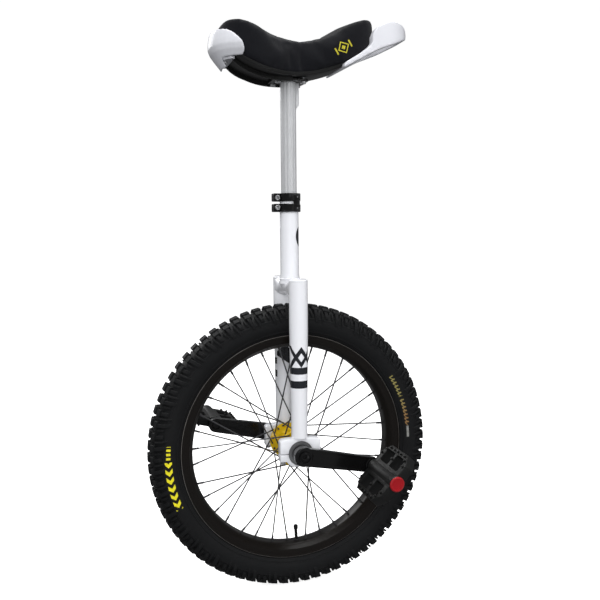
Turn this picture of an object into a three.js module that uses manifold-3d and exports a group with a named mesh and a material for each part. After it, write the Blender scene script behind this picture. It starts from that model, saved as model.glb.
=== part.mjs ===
// Trials unicycle with a 20-inch wheel, built as separate pieces. Millimetres, +Z up.
//
// The origin is the point on the ground straight below the axle. +X is the way the rider
// faces and +Y is the rider's left, so the wheel and both pedals turn about lines along Y.
// The right crank points forwards and a little down, the left crank the other way.

import * as THREE from 'three';
import { mergeVertices } from 'three/addons/utils/BufferGeometryUtils.js';
import Module from 'manifold-3d';

const wasm = await Module();
wasm.setup();

// ---- driving dimensions -------------------------------------------------------------

const GAP = 0.3; // space kept between pieces that touch

const TYRE_RADIUS = 253.5;
const TYRE_HALF_WIDTH = 31;
const TREAD_FLAT_HALF_WIDTH = 12;
const BEAD_SEAT_RADIUS = 193.5;
const RIM_LIP_RADIUS = 199.5;
const RIM_BED_RADIUS = 178;
const RIM_HALF_WIDTH = 22.5;
const TUBE_CENTRE_RADIUS = 221;
const TUBE_SECTION_RADIUS = 22;
const VALVE_ANGLE = THREE.MathUtils.degToRad(-87.6);
const AXLE_Z = TYRE_RADIUS;

const SPOKES_PER_FLANGE = 18;
const SPOKE_RADIUS = 1.3;
const SPOKE_SWEEP = THREE.MathUtils.degToRad(60); // three-cross lacing
const FLANGE_RADIUS = 32;
const FLANGE_FACE = 31;
const SPOKE_CIRCLE_RADIUS = 28;
const SPOKE_STANDOFF = 3.4; // keeps a slanting spoke clear of the flange's edge

const SPINDLE_RADIUS = 11; // runs in bearings with a 22 mm bore
const SPINDLE_END = 78;
const BEARING_RADIUS = 21;
const BEARING_INNER_FACE = 46;
const BEARING_OUTER_FACE = 58;

const LEG_Y = 52;
const LEG_TOP_Z = 552;
const LEG_TOP_RADIUS = 16;
const LEG_FOOT_RADIUS = 14;
const LEG_WALL = 1.6;
const HOLDER_TOP = 26.5; // above the axle
const HOLDER_HALF_LENGTH = 36;
const HOLDER_BOLT_X = 30;
const HOLDER_EAR = 13; // thickness of a bolt ear on the lower half
const CROWN_RADIUS = 14;
const CROWN_Z = 536;

const SEAT_TUBE_RADIUS = 16.2;
const SEAT_TUBE_TOP_Z = 690.3;
const POST_RADIUS = 13.6;
const POST_BOTTOM_Z = 585;
const POST_TOP_Z = 884.4;
const CLAMP_BOTTOM_Z = 665.5;
const CLAMP_TOP_Z = 697.3;
const CLAMP_EAR_X = -29.4;
const CLAMP_BOLT_X = -23.5;

const CRANK_LENGTH = 125;
const CRANK_DROP = THREE.MathUtils.degToRad(11.6); // right crank below the horizontal
const CRANK_BOSS_RADIUS = 17;
const CRANK_EYE_RADIUS = 13;
const CRANK_INNER_FACE = 67;
const CRANK_OUTER_FACE = 85;
const PEDAL_INNER_FACE = 91;
const PEDAL_OUTER_FACE = 186;
const PEDAL_HALF_LENGTH = 47;
const PEDAL_HALF_THICKNESS = 8.5;
const PEDAL_TILT_RIGHT = THREE.MathUtils.degToRad(46);
const PEDAL_TILT_LEFT = THREE.MathUtils.degToRad(-15);

const SADDLE_BASE_THICKNESS = 4;
const COVER_THICKNESS = 2;
const PLATE_THICKNESS = 3.7;
const SEAT_BOLT_X = 22;
const SEAT_BOLT_Y = 17;
const BUMPER_BOLT_X = -112;
const BUMPER_BOLT_Y = 18;
const BUMPER_WALL = 10;

const ROUND_WHEEL = 40; // sides of the large turned pieces
const ROUND = 16;
const ROUND_SMALL = 12;

// ---- looks --------------------------------------------------------------------------

const LOOKS = {
  rubber: { color: 0x101112, roughness: 0.85, metalness: 0 },
  blackMetal: { color: 0x0c0c0d, roughness: 0.25, metalness: 0.4 },
  whitePaint: { color: 0xf2f3f5, roughness: 0.3, metalness: 0 },
  steel: { color: 0xb9bcc0, roughness: 0.3, metalness: 1 },
  yellowAlloy: { color: 0xf2b705, roughness: 0.35, metalness: 0.3 },
  whitePlastic: { color: 0xeef0f4, roughness: 0.25, metalness: 0 },
  blackPlastic: { color: 0x141414, roughness: 0.55, metalness: 0 },
  redPlastic: { color: 0xd2122a, roughness: 0.4, metalness: 0 },
  foam: { color: 0x3a3a3c, roughness: 0.95, metalness: 0 },
  fabric: { color: 0x0d0e12, roughness: 0.8, metalness: 0 },
};

// ---- solids from three.js geometry ----------------------------------------------------

// A closed solid from a geometry: positions only, shared corners joined, faces outwards.
function solidOf(geometry) {
  const bare = new THREE.BufferGeometry();
  bare.setAttribute('position', geometry.attributes.position.clone());
  if (geometry.index) bare.setIndex(geometry.index.clone());
  const welded = mergeVertices(bare, 1e-3);
  const corners = welded.attributes.position.array;
  const index = welded.index.array;
  const kept = [];
  let volume = 0;
  for (let i = 0; i < index.length; i += 3) {
    const [a, b, c] = [index[i], index[i + 1], index[i + 2]];
    if (a === b || b === c || c === a) continue;
    kept.push(a, b, c);
    const [pa, pb, pc] = [a, b, c].map((n) => new THREE.Vector3().fromArray(corners, 3 * n));
    volume += pa.dot(pb.cross(pc));
  }
  if (volume < 0) kept.reverse();
  const vertProperties = new Float32Array(corners);
  const triVerts = new Uint32Array(kept);
  return new wasm.Manifold(new wasm.Mesh({ numProp: 3, vertProperties, triVerts }));
}

function geometryOf(solid) {
  const mesh = solid.getMesh();
  const geometry = new THREE.BufferGeometry();
  geometry.setAttribute('position', new THREE.BufferAttribute(mesh.vertProperties.slice(), 3));
  geometry.setIndex(new THREE.BufferAttribute(mesh.triVerts.slice(), 1));
  geometry.computeVertexNormals();
  return geometry;
}

// A corner list [radius, y] turned about the Y axis; a flat side faces straight down.
function turned(profile, sides = ROUND) {
  const points = [...profile, profile[0]].map(([radius, y]) => new THREE.Vector2(radius, y));
  return new THREE.LatheGeometry(points, sides, Math.PI / sides);
}

function ringProfile(innerRadius, outerRadius, y0, y1) {
  return [[innerRadius, y0], [outerRadius, y0], [outerRadius, y1], [innerRadius, y1]];
}

// Half a profile, y positive, completed by its mirror image.
function mirroredProfile(half) {
  return [...half, ...[...half].reverse().map(([radius, y]) => [radius, -y])];
}

// The same list turned about the vertical axis: [radius, z].
function upright(profile, sides = ROUND) {
  return turned(profile, sides).rotateX(Math.PI / 2);
}

function shapeOf(points) {
  return new THREE.Shape(points.map(([x, y]) => new THREE.Vector2(x, y)));
}

// A shape drawn in x and z, given depth along Y from y0 to y1.
function slabAlongY(shape, y0, y1, curveSegments = ROUND_SMALL) {
  const depth = y1 - y0;
  const settings = { depth, bevelEnabled: false, curveSegments };
  return new THREE.ExtrudeGeometry(shape, settings).rotateX(Math.PI / 2).translate(0, y1, 0);
}

// A shape drawn in x and y, given height along Z from z0 to z1.
function slabAlongZ(shape, z0, z1) {
  const settings = { depth: z1 - z0, bevelEnabled: false };
  return new THREE.ExtrudeGeometry(shape, settings).translate(0, 0, z0);
}

function box(x0, x1, y0, y1, z0, z1) {
  const geometry = new THREE.BoxGeometry(x1 - x0, y1 - y0, z1 - z0);
  return solidOf(geometry.translate((x0 + x1) / 2, (y0 + y1) / 2, (z0 + z1) / 2));
}

// A plain round bar about the Y axis through (x, z).
function barAlongY(radius, y0, y1, x = 0, z = 0, sides = ROUND) {
  return solidOf(turned(ringProfile(0, radius, y0, y1), sides).translate(x, 0, z));
}

// A plain round bar about the vertical line through (x, y).
function barAlongZ(radius, z0, z1, x = 0, y = 0, sides = ROUND) {
  return solidOf(upright(ringProfile(0, radius, z0, z1), sides).translate(x, y, 0));
}

// ---- the object's tree ----------------------------------------------------------------

const unicycle = new THREE.Group();
const atAxle = new THREE.Group();
atAxle.position.set(0, 0, AXLE_Z);
unicycle.add(atAxle);

function addPiece(name, solid, look, parent = unicycle) {
  const mesh = new THREE.Mesh(geometryOf(solid), new THREE.MeshStandardMaterial(LOOKS[look]));
  mesh.name = name;
  parent.add(mesh);
  return mesh;
}

// The object's two sides: the rider's right is -Y and the left is +Y.
const SIDES = [
  { name: 'right', sign: -1, crankAngle: -CRANK_DROP, pedalTilt: PEDAL_TILT_RIGHT },
  { name: 'left', sign: 1, crankAngle: Math.PI - CRANK_DROP, pedalTilt: PEDAL_TILT_LEFT },
];

// y limits of a piece between two distances from the middle, on one side
function span(sign, near, far) {
  return sign > 0 ? [near, far] : [-far, -near];
}

// ---- wheel ------------------------------------------------------------------------------

function tyre() {
  const outer = [
    [BEAD_SEAT_RADIUS + 0.8, 14.5],
    [BEAD_SEAT_RADIUS + 0.8, 19.3],
    [RIM_LIP_RADIUS + 0.8, 19.6],
    [207, 27.5],
    [221, TYRE_HALF_WIDTH],
    [238, 30],
    [249, 24],
    [TYRE_RADIUS / Math.cos(Math.PI / ROUND_WHEEL), TREAD_FLAT_HALF_WIDTH],
  ];
  const inner = [[205, 20], [221, 25], [238, 20.5], [246, 10]];
  const loop = [...mirroredProfile(outer), ...mirroredProfile(inner).map(([r, y]) => [r, -y])];
  addPiece('tyre', solidOf(turned(loop, ROUND_WHEEL)), 'rubber', atAxle);
}

// The air tube, a hoop with a C section: it is left open along the side that faces the rim.
function innerTube() {
  const opening = THREE.MathUtils.degToRad(14);
  const steps = 7;
  const arc = (radius) => Array.from({ length: steps + 1 }, (_, i) => {
    const angle = Math.PI + opening + ((2 * Math.PI - 2 * opening) * i) / steps;
    return [TUBE_CENTRE_RADIUS + radius * Math.cos(angle), radius * Math.sin(angle)];
  });
  const wall = 1.8;
  const loop = [...arc(TUBE_SECTION_RADIUS), ...arc(TUBE_SECTION_RADIUS - wall).reverse()];
  addPiece('inner_tube', solidOf(turned(loop, ROUND_WHEEL / 2)), 'rubber', atAxle);
}

// A round bar from one distance from the axle to another, along the valve's line.
function valveBar(radius, r0, r1) {
  const bar = upright(ringProfile(0, radius, r0, r1), ROUND_SMALL);
  return solidOf(bar.rotateY(Math.PI / 2 - VALVE_ANGLE));
}

function rimAndStrip() {
  const half = [
    [186.5, 10],
    [BEAD_SEAT_RADIUS, 14],
    [BEAD_SEAT_RADIUS, 19.8],
    [RIM_LIP_RADIUS, 20.3],
    [RIM_LIP_RADIUS, RIM_HALF_WIDTH],
    [186, RIM_HALF_WIDTH],
    [RIM_BED_RADIUS, 13],
  ];
  const valveHole = valveBar(4, 170, 192);
  const rim = solidOf(turned(mirroredProfile(half), ROUND_WHEEL)).subtract(valveHole);
  addPiece('rim', rim, 'blackMetal', atAxle);
  const strip = solidOf(turned(ringProfile(187, 188.4, -9, 9), ROUND_WHEEL));
  addPiece('rim_strip', strip.subtract(valveHole), 'rubber', atAxle);
}

function valve() {
  addPiece('valve_stem', valveBar(3, 158, 196), 'blackMetal', atAxle);
  addPiece('valve_cap', valveBar(4, 150, 158 - GAP), 'blackPlastic', atAxle);
}

function hubShell() {
  const end = BEARING_INNER_FACE - GAP;
  const half = [
    [SPINDLE_RADIUS + GAP, end],
    [15, end],
    [15, 33],
    [19, FLANGE_FACE],
    [FLANGE_RADIUS, FLANGE_FACE],
    [FLANGE_RADIUS, 27.5],
    [17, 25],
  ];
  addPiece('hub_shell', solidOf(turned(mirroredProfile(half))), 'yellowAlloy', atAxle);
}

function spindle() {
  const half = [
    [0, SPINDLE_END],
    [10, SPINDLE_END],
    [10, CRANK_INNER_FACE],
    [SPINDLE_RADIUS, CRANK_INNER_FACE - GAP],
  ];
  addPiece('spindle', solidOf(turned(mirroredProfile(half))), 'steel', atAxle);
}

// One spoke as a three-sided bar between two points.
function spokeBar(from, to) {
  const length = from.distanceTo(to);
  const bar = new THREE.CylinderGeometry(SPOKE_RADIUS, SPOKE_RADIUS, length, 3);
  bar.rotateX(Math.PI / 2);
  const middle = from.clone().lerp(to, 0.5);
  const frame = new THREE.Matrix4().lookAt(to, from, new THREE.Vector3(0, 1, 0));
  return solidOf(bar.applyMatrix4(frame.setPosition(middle)));
}

// Nine leading and nine trailing spokes of one flange, joined where they cross.
function spokesOfFlange({ name, sign }) {
  const point = (radius, angle, y) =>
    new THREE.Vector3(radius * Math.cos(angle), sign * y, radius * Math.sin(angle));
  const step = (2 * Math.PI) / SPOKES_PER_FLANGE;
  const shift = sign > 0 ? step / 2 : 0;
  const hubY = FLANGE_FACE + SPOKE_STANDOFF;
  let lattice = null;
  for (let i = 0; i < SPOKES_PER_FLANGE; i += 1) {
    const angle = VALVE_ANGLE + step / 4 + shift + i * step;
    const sweep = i % 2 === 0 ? SPOKE_SWEEP : -SPOKE_SWEEP;
    const atHub = point(SPOKE_CIRCLE_RADIUS, angle, hubY);
    const spoke = spokeBar(atHub, point(RIM_BED_RADIUS - 1.2, angle + sweep, 4));
    lattice = lattice ? lattice.add(spoke) : spoke;
  }
  addPiece(`spokes_${name}`, lattice, 'blackMetal', atAxle);
}

// ---- bearings, cranks and pedals --------------------------------------------------------

function bearing({ name, sign }) {
  const flip = (profile) => profile.map(([radius, y]) => [radius, sign * y]);
  const [a, b] = [BEARING_INNER_FACE, BEARING_OUTER_FACE];
  const outer = ringProfile(18.2, BEARING_RADIUS, a + GAP, b - GAP);
  const inner = [
    [SPINDLE_RADIUS + GAP, a],
    [14.6, a],
    [14.6, a + 3.5],
    [17.5, a + 5],
    [17.5, b - 5],
    [14.6, b - 3.5],
    [14.6, b],
    [SPINDLE_RADIUS + GAP, b],
  ];
  addPiece(`bearing_outer_${name}`, solidOf(turned(flip(outer))), 'steel', atAxle);
  addPiece(`bearing_inner_${name}`, solidOf(turned(flip(inner))), 'steel', atAxle);
  const spacer = ringProfile(SPINDLE_RADIUS + GAP, 14.4, b + GAP, CRANK_INNER_FACE - GAP);
  addPiece(`spacer_${name}`, solidOf(turned(flip(spacer))), 'blackMetal', atAxle);
}

// The crank's outline in x and z: a round boss, a round eye and two straight edges.
function crankOutline() {
  const lean = Math.asin((CRANK_BOSS_RADIUS - CRANK_EYE_RADIUS) / CRANK_LENGTH);
  const open = Math.PI / 2 - lean;
  const shape = new THREE.Shape();
  shape.absarc(0, 0, CRANK_BOSS_RADIUS - 1.5, open, 2 * Math.PI - open, false);
  shape.absarc(CRANK_LENGTH, 0, CRANK_EYE_RADIUS, -open, open, false);
  return shape;
}

function crankSide({ name, sign, crankAngle }) {
  const turn = new THREE.Group();
  turn.rotation.y = -crankAngle;
  atAxle.add(turn);
  const along = (near, far) => span(sign, near, far);
  const boss = barAlongY(CRANK_BOSS_RADIUS, ...along(CRANK_INNER_FACE, CRANK_OUTER_FACE - 2));
  const arm = solidOf(slabAlongY(crankOutline(), ...along(73, CRANK_OUTER_FACE)));
  const spindleHole = barAlongY(10 + GAP, ...along(CRANK_INNER_FACE - 1, SPINDLE_END + GAP));
  const boltHole = barAlongY(11, ...along(SPINDLE_END, CRANK_OUTER_FACE + 1));
  const eyeHole = barAlongY(7 + GAP, ...along(70, CRANK_OUTER_FACE + 1), CRANK_LENGTH);
  const crank = boss.add(arm).subtract(spindleHole).subtract(boltHole).subtract(eyeHole);
  addPiece(`crank_${name}`, crank, 'blackMetal', turn);
  const bolt = barAlongY(11 - GAP, ...along(SPINDLE_END + 2 * GAP, CRANK_OUTER_FACE - 1.5));
  addPiece(`crank_bolt_${name}`, bolt, 'steel', turn);
}

function pedalSide(side) {
  const { name, sign, crankAngle, pedalTilt } = side;
  const eye = new THREE.Group();
  const reach = new THREE.Vector3(Math.cos(crankAngle), 0, Math.sin(crankAngle));
  eye.position.copy(reach.multiplyScalar(CRANK_LENGTH));
  eye.rotation.y = -pedalTilt;
  atAxle.add(eye);
  const flip = (profile) => profile.map(([radius, y]) => [radius, sign * y]);
  const spindleEnd = PEDAL_OUTER_FACE - 5;
  const spindleProfile = [
    [0, 73],
    [7, 73],
    [7, CRANK_OUTER_FACE + GAP],
    [9, CRANK_OUTER_FACE + GAP],
    [9, PEDAL_INNER_FACE - 2 * GAP],
    [6.5, PEDAL_INNER_FACE],
    [6.5, spindleEnd],
    [0, spindleEnd],
  ];
  const pin = solidOf(turned(flip(spindleProfile), ROUND));
  addPiece(`pedal_spindle_${name}`, pin, 'steel', eye);
  const sleeve = ringProfile(6.5 + GAP, 9, PEDAL_INNER_FACE + 3, spindleEnd);
  addPiece(`pedal_bushing_${name}`, solidOf(turned(flip(sleeve))), 'blackPlastic', eye);
  addPiece(`pedal_body_${name}`, pedalBody(sign), 'blackPlastic', eye);
  const cap = [
    [0, PEDAL_OUTER_FACE + GAP],
    [12.5, PEDAL_OUTER_FACE + GAP],
    [12.5, PEDAL_OUTER_FACE + 2],
    [11, PEDAL_OUTER_FACE + 3],
    [0, PEDAL_OUTER_FACE + 3],
  ];
  addPiece(`pedal_cap_${name}`, solidOf(turned(flip(cap))), 'redPlastic', eye);
}

// A platform with cut corners, a barrel for the spindle and a window on each side of it.
function pedalBody(sign) {
  const [inner, outer] = span(sign, PEDAL_INNER_FACE, PEDAL_OUTER_FACE);
  const corner = 16;
  const plan = shapeOf([
    [-PEDAL_HALF_LENGTH, inner + corner],
    [-PEDAL_HALF_LENGTH + corner, inner],
    [PEDAL_HALF_LENGTH - corner, inner],
    [PEDAL_HALF_LENGTH, inner + corner],
    [PEDAL_HALF_LENGTH, outer - corner],
    [PEDAL_HALF_LENGTH - corner, outer],
    [-PEDAL_HALF_LENGTH + corner, outer],
    [-PEDAL_HALF_LENGTH, outer - corner],
  ]);
  let body = solidOf(slabAlongZ(plan, -PEDAL_HALF_THICKNESS, PEDAL_HALF_THICKNESS));
  body = body.add(barAlongY(13, inner, outer));
  const middle = (inner + outer) / 2;
  for (const end of [-1, 1]) {
    const [x0, x1] = end > 0 ? [16, 39] : [-39, -16];
    for (const [y0, y1] of [[inner + 14, middle - 4], [middle + 4, outer - 14]]) {
      body = body.subtract(box(x0, x1, y0, y1, -20, 20));
    }
  }
  return body.subtract(barAlongY(9 + GAP, inner - 1, outer + 1));
}

// ---- frame ---------------------------------------------------------------------------------

function seatTubeAndCrown() {
  const bore = POST_RADIUS + GAP;
  const tube = upright(ringProfile(bore, SEAT_TUBE_RADIUS, CROWN_Z + 2, SEAT_TUBE_TOP_Z));
  const clampSlot = box(-20, -8, -1.5, 1.5, 640, SEAT_TUBE_TOP_Z + 1);
  const crownSpace = barAlongY(CROWN_RADIUS + GAP, -LEG_Y, LEG_Y, 0, CROWN_Z);
  addPiece('seat_tube', solidOf(tube).subtract(clampSlot).subtract(crownSpace), 'whitePaint');

  let crown = barAlongY(CROWN_RADIUS, -LEG_Y, LEG_Y, 0, CROWN_Z);
  for (const { sign } of SIDES) {
    const legSpace = barAlongZ(LEG_TOP_RADIUS + GAP, 500, 600, 0, sign * LEG_Y);
    const beyondLeg = box(-30, 30, ...span(sign, LEG_Y, LEG_Y + 30), 500, 600);
    crown = crown.subtract(legSpace).subtract(beyondLeg);
  }
  addPiece('crown', crown, 'whitePaint');
}

function leg({ name, sign }) {
  const foot = AXLE_Z + HOLDER_TOP + GAP;
  const capBottom = LEG_TOP_Z - 4;
  const profile = [
    [LEG_FOOT_RADIUS - LEG_WALL, foot],
    [LEG_FOOT_RADIUS, foot],
    [LEG_TOP_RADIUS, 470],
    [LEG_TOP_RADIUS, capBottom],
    [LEG_TOP_RADIUS - LEG_WALL, capBottom],
    [LEG_TOP_RADIUS - LEG_WALL, 470],
  ];
  const y = sign * LEG_Y;
  addPiece(`leg_${name}`, solidOf(upright(profile).translate(0, y, 0)), 'whitePaint');
  const cap = [
    [0, capBottom + GAP],
    [LEG_TOP_RADIUS, capBottom + GAP],
    [LEG_TOP_RADIUS, LEG_TOP_Z - 2],
    [LEG_TOP_RADIUS - 2, LEG_TOP_Z],
    [0, LEG_TOP_Z],
  ];
  addPiece(`leg_cap_${name}`, solidOf(upright(cap).translate(0, y, 0)), 'whitePaint');
}

// Half of a split bearing holder. `up` is 1 for the block under the leg and -1 for the arch
// with a bolt ear at each end that the bolts pull up against it.
function holderHalf(sign, up) {
  const split = 0.5;
  const seat = BEARING_RADIUS + GAP;
  const edge = Math.asin(split / seat);
  const block = [[HOLDER_HALF_LENGTH, 21.5], [32.5, 25], [20, HOLDER_TOP]];
  const arch = [[HOLDER_HALF_LENGTH, HOLDER_EAR], [25, HOLDER_EAR], [21, 18], [14, 23]];
  const side = [[HOLDER_HALF_LENGTH, split], ...(up > 0 ? block : arch)];
  const outline = [...side, ...[...side].reverse().map(([x, z]) => [-x, z])];
  const shape = shapeOf(outline);
  shape.lineTo(-seat * Math.cos(edge), split);
  shape.absarc(0, 0, seat, Math.PI - edge, edge, true);
  const slab = slabAlongY(shape, ...span(sign, 44, 60));
  if (up < 0) slab.scale(1, 1, -1);
  let half = solidOf(slab);
  for (const x of [-HOLDER_BOLT_X, HOLDER_BOLT_X]) {
    half = half.subtract(barAlongZ(3 + GAP, -20, 20, x, sign * LEG_Y, ROUND_SMALL));
  }
  return half;
}

function bearingHolder({ name, sign }) {
  addPiece(`holder_upper_${name}`, holderHalf(sign, 1), 'whitePaint', atAxle);
  addPiece(`holder_lower_${name}`, holderHalf(sign, -1), 'whitePaint', atAxle);
  const seat = -HOLDER_EAR - GAP;
  const bolt = [[0, seat - 5], [4.8, seat - 5], [4.8, seat], [3, seat], [3, 10], [0, 10]];
  for (const [end, x] of [['rear', -HOLDER_BOLT_X], ['front', HOLDER_BOLT_X]]) {
    const placed = upright(bolt, ROUND_SMALL).translate(x, sign * LEG_Y, 0);
    addPiece(`holder_bolt_${name}_${end}`, solidOf(placed), 'steel', atAxle);
  }
}

// Two clamp bands in one piece, split at the rear, with a slot between the two bolt ears.
function seatClamp() {
  const lipZ = SEAT_TUBE_TOP_Z + GAP;
  const profile = [
    [SEAT_TUBE_RADIUS + GAP, CLAMP_BOTTOM_Z],
    [19.9, CLAMP_BOTTOM_Z],
    [19.9, CLAMP_TOP_Z],
    [POST_RADIUS + GAP, CLAMP_TOP_Z],
    [POST_RADIUS + GAP, lipZ],
    [SEAT_TUBE_RADIUS + GAP, lipZ],
  ];
  const middle = (CLAMP_BOTTOM_Z + CLAMP_TOP_Z) / 2;
  let clamp = solidOf(upright(profile));
  clamp = clamp.add(box(CLAMP_EAR_X, -17.2, -9, 9, CLAMP_BOTTOM_Z, CLAMP_TOP_Z));
  clamp = clamp.subtract(box(-40, -10, -1.5, 1.5, 650, 710));
  clamp = clamp.subtract(box(-40, 3, -30, 30, middle - 2, middle + 2));
  for (const [level, z] of [['lower', middle - 8.2], ['upper', middle + 8.2]]) {
    clamp = clamp.subtract(barAlongY(2.5 + GAP, -20, 20, CLAMP_BOLT_X, z, ROUND_SMALL));
    const bolt = [[0, -13.5], [4.3, -13.5], [4.3, -9 - GAP], [2.5, -9 - GAP], [2.5, 12], [0, 12]];
    const placed = turned(bolt, ROUND_SMALL).translate(CLAMP_BOLT_X, 0, z);
    addPiece(`clamp_bolt_${level}`, solidOf(placed), 'steel');
    const nut = turned(ringProfile(2.5 + GAP, 4.3, 9 + GAP, 12.5), ROUND_SMALL);
    addPiece(`clamp_nut_${level}`, solidOf(nut.translate(CLAMP_BOLT_X, 0, z)), 'steel');
  }
  addPiece('seat_clamp', clamp, 'blackMetal');
}

// ---- seatpost and saddle ----------------------------------------------------------------------

// Side view of the pad in x and z, drawn as two curves that run from the rear to the front.
const PAD_TOP = new THREE.SplineCurve([
  [-126, 950], [-120, 966], [-106, 975], [-73, 966], [-45, 953], [-20, 946],
  [14, 944], [48, 951], [73, 964], [99, 979], [122, 988], [138, 991], [150, 980],
].map(([x, z]) => new THREE.Vector2(x, z)));
const PAD_BOTTOM = new THREE.SplineCurve([
  [-122, 943], [-110, 929], [-87, 911], [-58, 899], [-30, 894], [0, 893.6], [30, 897],
  [60, 904], [89, 914], [112, 927], [132, 941], [146, 956],
].map(([x, z]) => new THREE.Vector2(x, z)));

// Plan view: half the width of the pad along its length.
const PAD_PLAN = [
  [-126, 0], [-120, 28], [-102, 50], [-76, 60], [-44, 56], [0, 43],
  [45, 38], [90, 41], [122, 43], [143, 32], [152, 0],
];

function padPlan(grow) {
  const mirror = PAD_PLAN.slice(1, -1).reverse().map(([x, y]) => [x, -y]);
  const knots = [...PAD_PLAN, ...mirror].map(([x, y]) => new THREE.Vector3(x, y, 0));
  const curve = new THREE.CatmullRomCurve3(knots, true);
  const steps = 28;
  const points = [];
  for (let i = 0; i < steps; i += 1) {
    const at = curve.getPoint(i / steps);
    const way = curve.getTangent(i / steps);
    points.push([at.x - way.y * grow, at.y + way.x * grow]);
  }
  return shapeOf(points);
}

// Everything between two heights above the bottom curve and under the top curve.
function padSlab(liftBottom, liftTop, plan) {
  const bottom = PAD_BOTTOM.getPoints(12).map(({ x, y }) => [x, y + liftBottom]);
  const top = PAD_TOP.getPoints(18).map(({ x, y }) => [x, y + liftTop]);
  const side = solidOf(slabAlongY(shapeOf([...bottom, ...top.reverse()]), -90, 90));
  return side.intersect(solidOf(slabAlongZ(plan, 800, 1100)));
}

function saddlePad() {
  const foamInset = COVER_THICKNESS + GAP;
  const outside = padSlab(0, 0, padPlan(0));
  const hollow = padSlab(-6, -COVER_THICKNESS, padPlan(-COVER_THICKNESS));
  addPiece('saddle_cover', outside.subtract(hollow), 'fabric');
  addPiece('saddle_foam', padSlab(0, -foamInset, padPlan(-foamInset)), 'foam');
}

// The moulded base under the foam: a curved plate with holes for the bolts.
function saddleBase() {
  const lower = PAD_BOTTOM.getPoints(12).map(({ x, y }) => [x, y - GAP - SADDLE_BASE_THICKNESS]);
  const upper = PAD_BOTTOM.getPoints(12).map(({ x, y }) => [x, y - GAP]);
  let base = solidOf(slabAlongY(shapeOf([...lower, ...upper.reverse()]), -90, 90));
  base = base.intersect(solidOf(slabAlongZ(padPlan(-3), 800, 1100)));
  for (const { x, y } of seatBoltPlaces()) {
    base = base.subtract(barAlongZ(3 + GAP, 870, 900, x, y, ROUND_SMALL));
  }
  for (const { sign } of SIDES) {
    base = base.subtract(barAlongZ(2.5 + GAP, 880, 940, BUMPER_BOLT_X, BUMPER_BOLT_Y * sign, ROUND_SMALL));
  }
  addPiece('saddle_base', base, 'blackPlastic');
}

function seatBoltPlaces() {
  return [['rear', -SEAT_BOLT_X], ['front', SEAT_BOLT_X]].flatMap(([end, x]) =>
    SIDES.map(({ name, sign }) => ({ name: `${end}_${name}`, x, y: sign * SEAT_BOLT_Y })));
}

function seatpost() {
  const tube = upright(ringProfile(POST_RADIUS - 2, POST_RADIUS, POST_BOTTOM_Z, POST_TOP_Z));
  const rib = box(POST_RADIUS - 1, 19, -3, 3, 840, POST_TOP_Z);
  addPiece('seatpost', solidOf(tube).add(rib), 'steel');
  const plateBottom = POST_TOP_Z + GAP;
  const plateTop = plateBottom + PLATE_THICKNESS;
  let plate = box(-31, 31, -25, 25, plateBottom, plateTop);
  for (const { name, x, y } of seatBoltPlaces()) {
    plate = plate.subtract(barAlongZ(3 + GAP, 870, 900, x, y, ROUND_SMALL));
    const head = plateBottom - GAP;
    const bolt = [[0, head - 4], [5, head - 4], [5, head], [3, head], [3, 892], [0, 892]];
    const placed = upright(bolt, ROUND_SMALL).translate(x, y, 0);
    addPiece(`seat_bolt_${name}`, solidOf(placed), 'steel');
  }
  addPiece('post_plate', plate, 'steel');
}

// The cup around the rear of the saddle, with a floor that two bolts hold to the base.
function rearBumper() {
  const side = shapeOf([
    [-150, 958], [-126, 956], [-112, 953], [-101, 944], [-92, 933], [-88, 922],
    [-91, 912], [-99, 908], [-128, 920], [-150, 936],
  ]);
  const slab = solidOf(slabAlongY(side, -90, 90));
  const outside = solidOf(slabAlongZ(padPlan(BUMPER_WALL), 880, 980));
  const inside = solidOf(slabAlongZ(padPlan(2 * GAP), 880, 980));
  const floorBottom = 911;
  const floor = box(-124, -100, -54, 54, floorBottom, floorBottom + 3).intersect(outside);
  let bumper = slab.intersect(outside).subtract(inside).add(floor);
  const head = floorBottom - GAP;
  const bolt = [[0, head - 4], [4.5, head - 4], [4.5, head], [2.5, head], [2.5, 927], [0, 927]];
  for (const { name, sign } of SIDES) {
    const y = BUMPER_BOLT_Y * sign;
    bumper = bumper.subtract(barAlongZ(2.5 + GAP, 880, 940, BUMPER_BOLT_X, y, ROUND_SMALL));
    const placed = upright(bolt, ROUND_SMALL).translate(BUMPER_BOLT_X, y, 0);
    addPiece(`bumper_bolt_${name}`, solidOf(placed), 'steel');
  }
  addPiece('rear_bumper', bumper, 'whitePlastic');
}

// The grab handle: a loop round the saddle's nose that leaves room for the fingers.
function frontHandle() {
  const side = shapeOf([
    [85, 905], [110, 918], [140, 934], [157, 941], [180, 950], [195, 957], [208, 964],
    [213, 970], [212, 977], [203, 984], [190, 987], [168, 985], [150, 978], [139, 969],
    [134, 957], [132, 945], [112, 929], [88, 914],
  ]);
  const loop = (points) => {
    const mirror = [...points].reverse().map(([x, y]) => [x, -y]);
    return solidOf(slabAlongZ(shapeOf([...points, ...mirror]), 880, 1010));
  };
  const outer = loop([[85, 50], [130, 54], [165, 52], [194, 40], [208, 22], [213, 7]]);
  const fingers = loop([[120, 32], [158, 40], [181, 31], [194, 16], [198, 6]]);
  const pad = solidOf(slabAlongZ(padPlan(2 * GAP), 880, 1010));
  const slab = solidOf(slabAlongY(side, -90, 90));
  const handle = slab.intersect(outer).subtract(fingers).subtract(pad);
  addPiece('front_handle', handle, 'whitePlastic');
}

// ---- assembly ---------------------------------------------------------------------------------

tyre();
innerTube();
rimAndStrip();
valve();
hubShell();
spindle();
for (const side of SIDES) {
  spokesOfFlange(side);
  bearing(side);
  crankSide(side);
  pedalSide(side);
  leg(side);
  bearingHolder(side);
}
seatTubeAndCrown();
seatClamp();
seatpost();
saddleBase();
saddlePad();
rearBumper();
frontHandle();

export default unicycle;
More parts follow.
